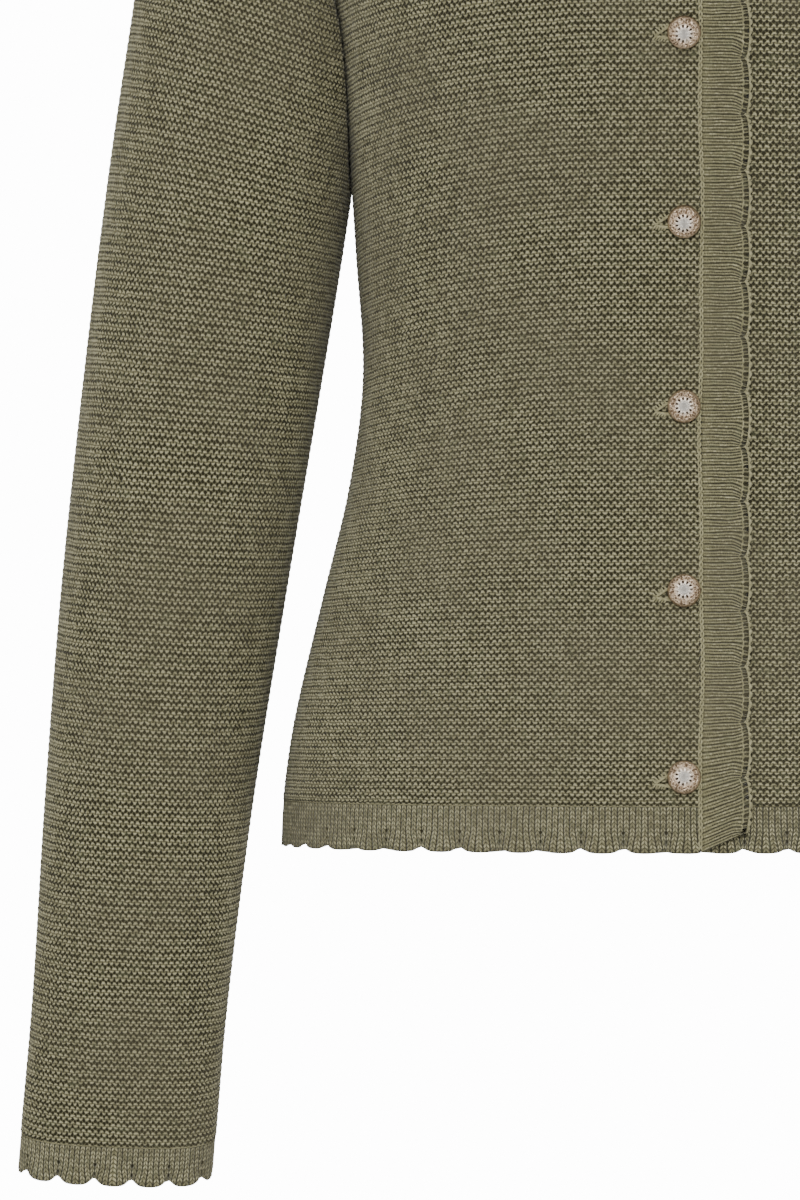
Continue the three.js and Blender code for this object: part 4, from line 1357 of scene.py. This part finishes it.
def neck_trim_way(base):
    """The way the neck trim stands up from each place on the neckline."""
    low = front_of(base[..., 0], NECK_FRONT_Z, 0)
    high = front_of(base[..., 0], TRIM_TOP_Z, 0)
    at_front = unit(high - low)
    sign = np.sign(base[..., 0])
    at_shoulder = unit(np.stack([-sign * 0.85, 0 * sign, 0 * sign + 0.53], -1))
    at_back = unit(np.broadcast_to(np.array([0, -0.35, 0.94]), base.shape))
    side = np.abs(base[..., 0])
    front_share = smooth_step((side - NECK_TRIM_STRAIGHT) / (NECK_X - NECK_TRIM_STRAIGHT))
    back_share = smooth_step(side / NECK_X)
    on_back = base[..., 1] > middle_at(NECK_Z)
    share = np.where(on_back, back_share, front_share)[..., None]
    start = np.where(on_back[..., None], at_back, at_front)
    return unit(start + (at_shoulder - start) * share)


def seam_threads():
    """Threads that close the seams between the panels and their borders."""
    share = np.linspace(0, 1, SEAM_POINTS)
    ring = sleeve_ring(CUFF_SEAM_Z - EDGE_GAP / 2, CUFF_TURNS(share))
    out = ring - ring.mean(axis=0)
    out[:, 2] = 0
    out = unit(out)
    cuff = [(ring - out * 0.75, out, SEAM_THREAD)]
    made = [
        add_threads("left_cuff_seam", cuff),
        add_threads("right_cuff_seam", cuff, mirrored=True),
    ]
    for name, facing, lift, first, last in (
        ("right_hem_seam", -1, LAP_LIFT, -0.04, HALF_PI - 0.01),
        ("left_hem_seam", -1, 0, -0.04, HALF_PI - 0.01),
        ("back_hem_seam", 1, 0, HALF_PI - 0.01, 0.01 - HALF_PI),
    ):
        path = section_point(first + (last - first) * share, HEM_SEAM_Z, facing, lift)
        out = unit(path * np.array([1.0, 1.0, 0.0]))
        thread = (path - out * 0.7, out, SEAM_THREAD)
        made.append(add_threads(name, [thread], mirrored=name.startswith("right")))
    return made


threads = seam_threads()
for side, lift, mirrored in (("right", LAP_LIFT, True), ("left", 0, False)):
    trim, edge = front_trim(side + "_trim", lift, mirrored)
    threads += [edge, front_chain(side + "_trim_chain", lift, mirrored)]
    dress(trim, "front_trim_" + side)
    dress(hem_border(side + "_hem", -1, lift, mirrored), "hem_border_" + side)
    dress(cuff_border(side + "_cuff", mirrored), "cuff_border_" + side)
dress(hem_border("back_hem", 1, 0, False), "hem_border_back")
collar, *neck_threads = neck_trim("collar_trim")
dress(collar, "neck_trim")

# Buttons and their holes
BUTTON_SEAT = 3.25
BUTTON_FOOT = 0.3
BUTTON_POWER = 2.5
BUTTON_SIDES = 96
SHANK_RADIUS = 1.3
HOLE_LIPS = ((1.6, 1), (-2.9, -1))
HOLE_START_X = -5.0
HOLE_THREAD = 0.36
HOLE_END_X = -10.9
HOLE_DROP = 2.2


def bell(value, middle, width):
    return np.exp(-(((value - middle) / width) ** 2))


def button_relief(share, turn):
    """Filigree of a button, by the share of its radius and the turn."""
    rosette = 0.30 * np.abs(np.cos(4 * turn)) * bell(share, 0.2, 0.09) + 0.30 * bell(share, 0, 0.07)
    wedge = np.abs((turn * HOLES / (2 * math.pi) + 0.5) % 1 - 0.5)
    holes = -0.55 * np.clip((0.26 - wedge) / 0.1, 0, 1) * bell(share, HOLE_RING, 0.085)
    lean = SCROLL_LEAN * share
    scrolls = 0.16 * np.cos(SCROLLS * turn + lean) * bell(share, 0.66, 0.06)
    beads = 0.15 * np.cos(SCROLLS * turn - lean) * bell(share, 0.83, 0.06)
    rings = sum(-0.14 * bell(share, middle, 0.02) for middle in (0.32, 0.575, 0.745, 0.915))
    return rosette + holes + scrolls + beads + rings


def button(name, z):
    turn = np.linspace(0, 2 * math.pi, BUTTON_SIDES, endpoint=False)[None, :]
    share = np.concatenate([np.linspace(0.03, 0.94, 34), [0.97, 0.99, 1.0]])[:, None]
    height = BUTTON_SEAT + BUTTON_RISE * (1 - share**BUTTON_POWER) ** 0.5
    height = height + button_relief(share, turn) * smooth_step((1 - share) / 0.06)
    height = np.minimum(height, BUTTON_SEAT + BUTTON_RISE)
    foot_radii = np.array([[BUTTON_RADIUS - 0.5], [SHANK_RADIUS], [SHANK_RADIUS]])
    foot_heights = np.array([[BUTTON_SEAT], [BUTTON_SEAT], [0.0]])
    radii = np.concatenate([BUTTON_RADIUS * share, foot_radii]) + 0 * turn
    heights = np.concatenate([height, foot_heights + 0 * turn])
    turns = np.broadcast_to(turn, radii.shape)
    seat = torso_point(0.0, z, -1)
    upward = unit(torso_point(0.0, z + 0.5, -1) - seat)
    right = np.array([1.0, 0.0, 0.0])
    out = unit(np.cross(right, upward))
    base = seat + out * BUTTON_FOOT
    across, up = radii * np.cos(turns), radii * np.sin(turns)
    points = base + right * across[..., None] + upward * up[..., None] + out * heights[..., None]
    crown = base + out * (BUTTON_SEAT + BUTTON_RISE)
    points = np.concatenate([points.reshape(-1, 3), [crown, base]])
    uv = np.stack([turns / (2 * math.pi), radii / BUTTON_RADIUS], -1).reshape(-1, 2)
    uv = np.concatenate([uv, [[0, 0], [0, 0.2]]])
    faces = closed_rings(np.arange(radii.size).reshape(radii.shape))
    return mesh_piece(name, points, faces, uv, button_material)


def buttonhole_stitches(z):
    """Threads along both lips of a buttonhole, and stitches over them towards its end."""
    end = np.array([HOLE_END_X, -HOLE_DROP])
    places = []
    for height, side in HOLE_LIPS:
        start = np.array([HOLE_START_X, height])
        for offset in (0.0, 0.5):
            places.append((start + [0, side * offset], end + [0, side * offset * 0.5]))
        for share in np.linspace(0.25, 0.95, 5):
            at = start + (end - start) * share
            places.append((at, at + [-1.1, side * 1.4]))
    t = np.linspace(0, 1, 9)
    threads = []
    for near, far in places:
        x, up = (near[k] + (far[k] - near[k]) * t for k in (0, 1))
        path = front_of(-x, z + up, LAP_LIFT)
        path[:, 1] -= 0.15 + 0.55 * np.sin(math.pi * t) ** 0.7
        threads.append((path, forward(path), HOLE_THREAD))
    return threads


stitches = []
for i in range(BUTTON_COUNT):
    z = BUTTON_LOWEST_Z + i * BUTTON_PITCH
    dress(button(f"silver_button_{i + 1}", z), f"button_{i + 1}")
    stitches += buttonhole_stitches(z)
holes_sewn = add_threads("buttonhole_threads", stitches, mirrored=True)
for thread in (*threads, *neck_threads, holes_sewn):
    dress(thread)

# Stage, light and camera
CAMERA_DISTANCE = 3.2
CAMERA_Z = -0.4745
AIM_X = -0.1108
FRAME_HEIGHT = 0.468
SENSOR = 36.0
FLOOR_DROP = 0.6
FLOOR_REACH = 1.2
SKY_HEIGHTS = (-0.5, 0.6)
SKY_LIGHT = (0.45, 0.95)
BACKDROP_REACH = (0.93, 0.975)
BACKDROP_LIGHT = 14.0


def add_stage():
    low, reach = cad_box[0].z - FLOOR_DROP, FLOOR_REACH
    corners = [(-reach, -reach, low), (reach, -reach, low), (reach, reach, low), (-reach, reach, low)]
    mesh = bpy.data.meshes.new("floor")
    mesh.from_pydata(corners, [], [(0, 1, 2, 3)])
    mesh.materials.append(plain_material("pale_floor", (0.9, 0.9, 0.9), 0.9))
    add_object("floor", mesh)


def aimed(name, data, place, aim):
    made = add_object(name, data)
    made.location = place
    made.rotation_euler = (Vector(aim) - Vector(place)).to_track_quat("-Z", "Y").to_euler()
    return made


def add_light(name, place, aim, size, power):
    data = bpy.data.lights.new(name, "AREA")
    data.size = size
    data.energy = power
    aimed(name, data, place, aim)


def add_world():
    """A white studio, brighter above, with a bright white backdrop far behind the garment."""
    world = bpy.data.worlds.new("studio")
    bpy.context.scene.world = world
    world.use_nodes = True
    background = world.node_tree.nodes["Background"]
    background.inputs["Color"].default_value = (1, 1, 1, 1)
    direction = add_node(world.node_tree, "TexCoord", {}, "Generated")
    sky = direction.axis(2).ramp(*SKY_HEIGHTS, *SKY_LIGHT)
    strength = direction.axis(1).ramp(*BACKDROP_REACH, sky, BACKDROP_LIGHT)
    world.node_tree.links.new(strength.socket, background.inputs["Strength"])


def add_camera():
    data = bpy.data.cameras.new("camera")
    data.sensor_width = SENSOR
    data.lens = SENSOR * CAMERA_DISTANCE / FRAME_HEIGHT
    place = (0, -CAMERA_DISTANCE, CAMERA_Z)
    bpy.context.scene.camera = aimed("camera", data, place, (AIM_X, 0, CAMERA_Z))


add_stage()
add_world()
add_light("key", (0.05, -3.0, 0.8), (0, 0, -0.4), 0.6, 54)
add_light("side", (-2.2, -1.7, 0.3), (-0.15, 0, -0.4), 0.5, 5)
add_camera()
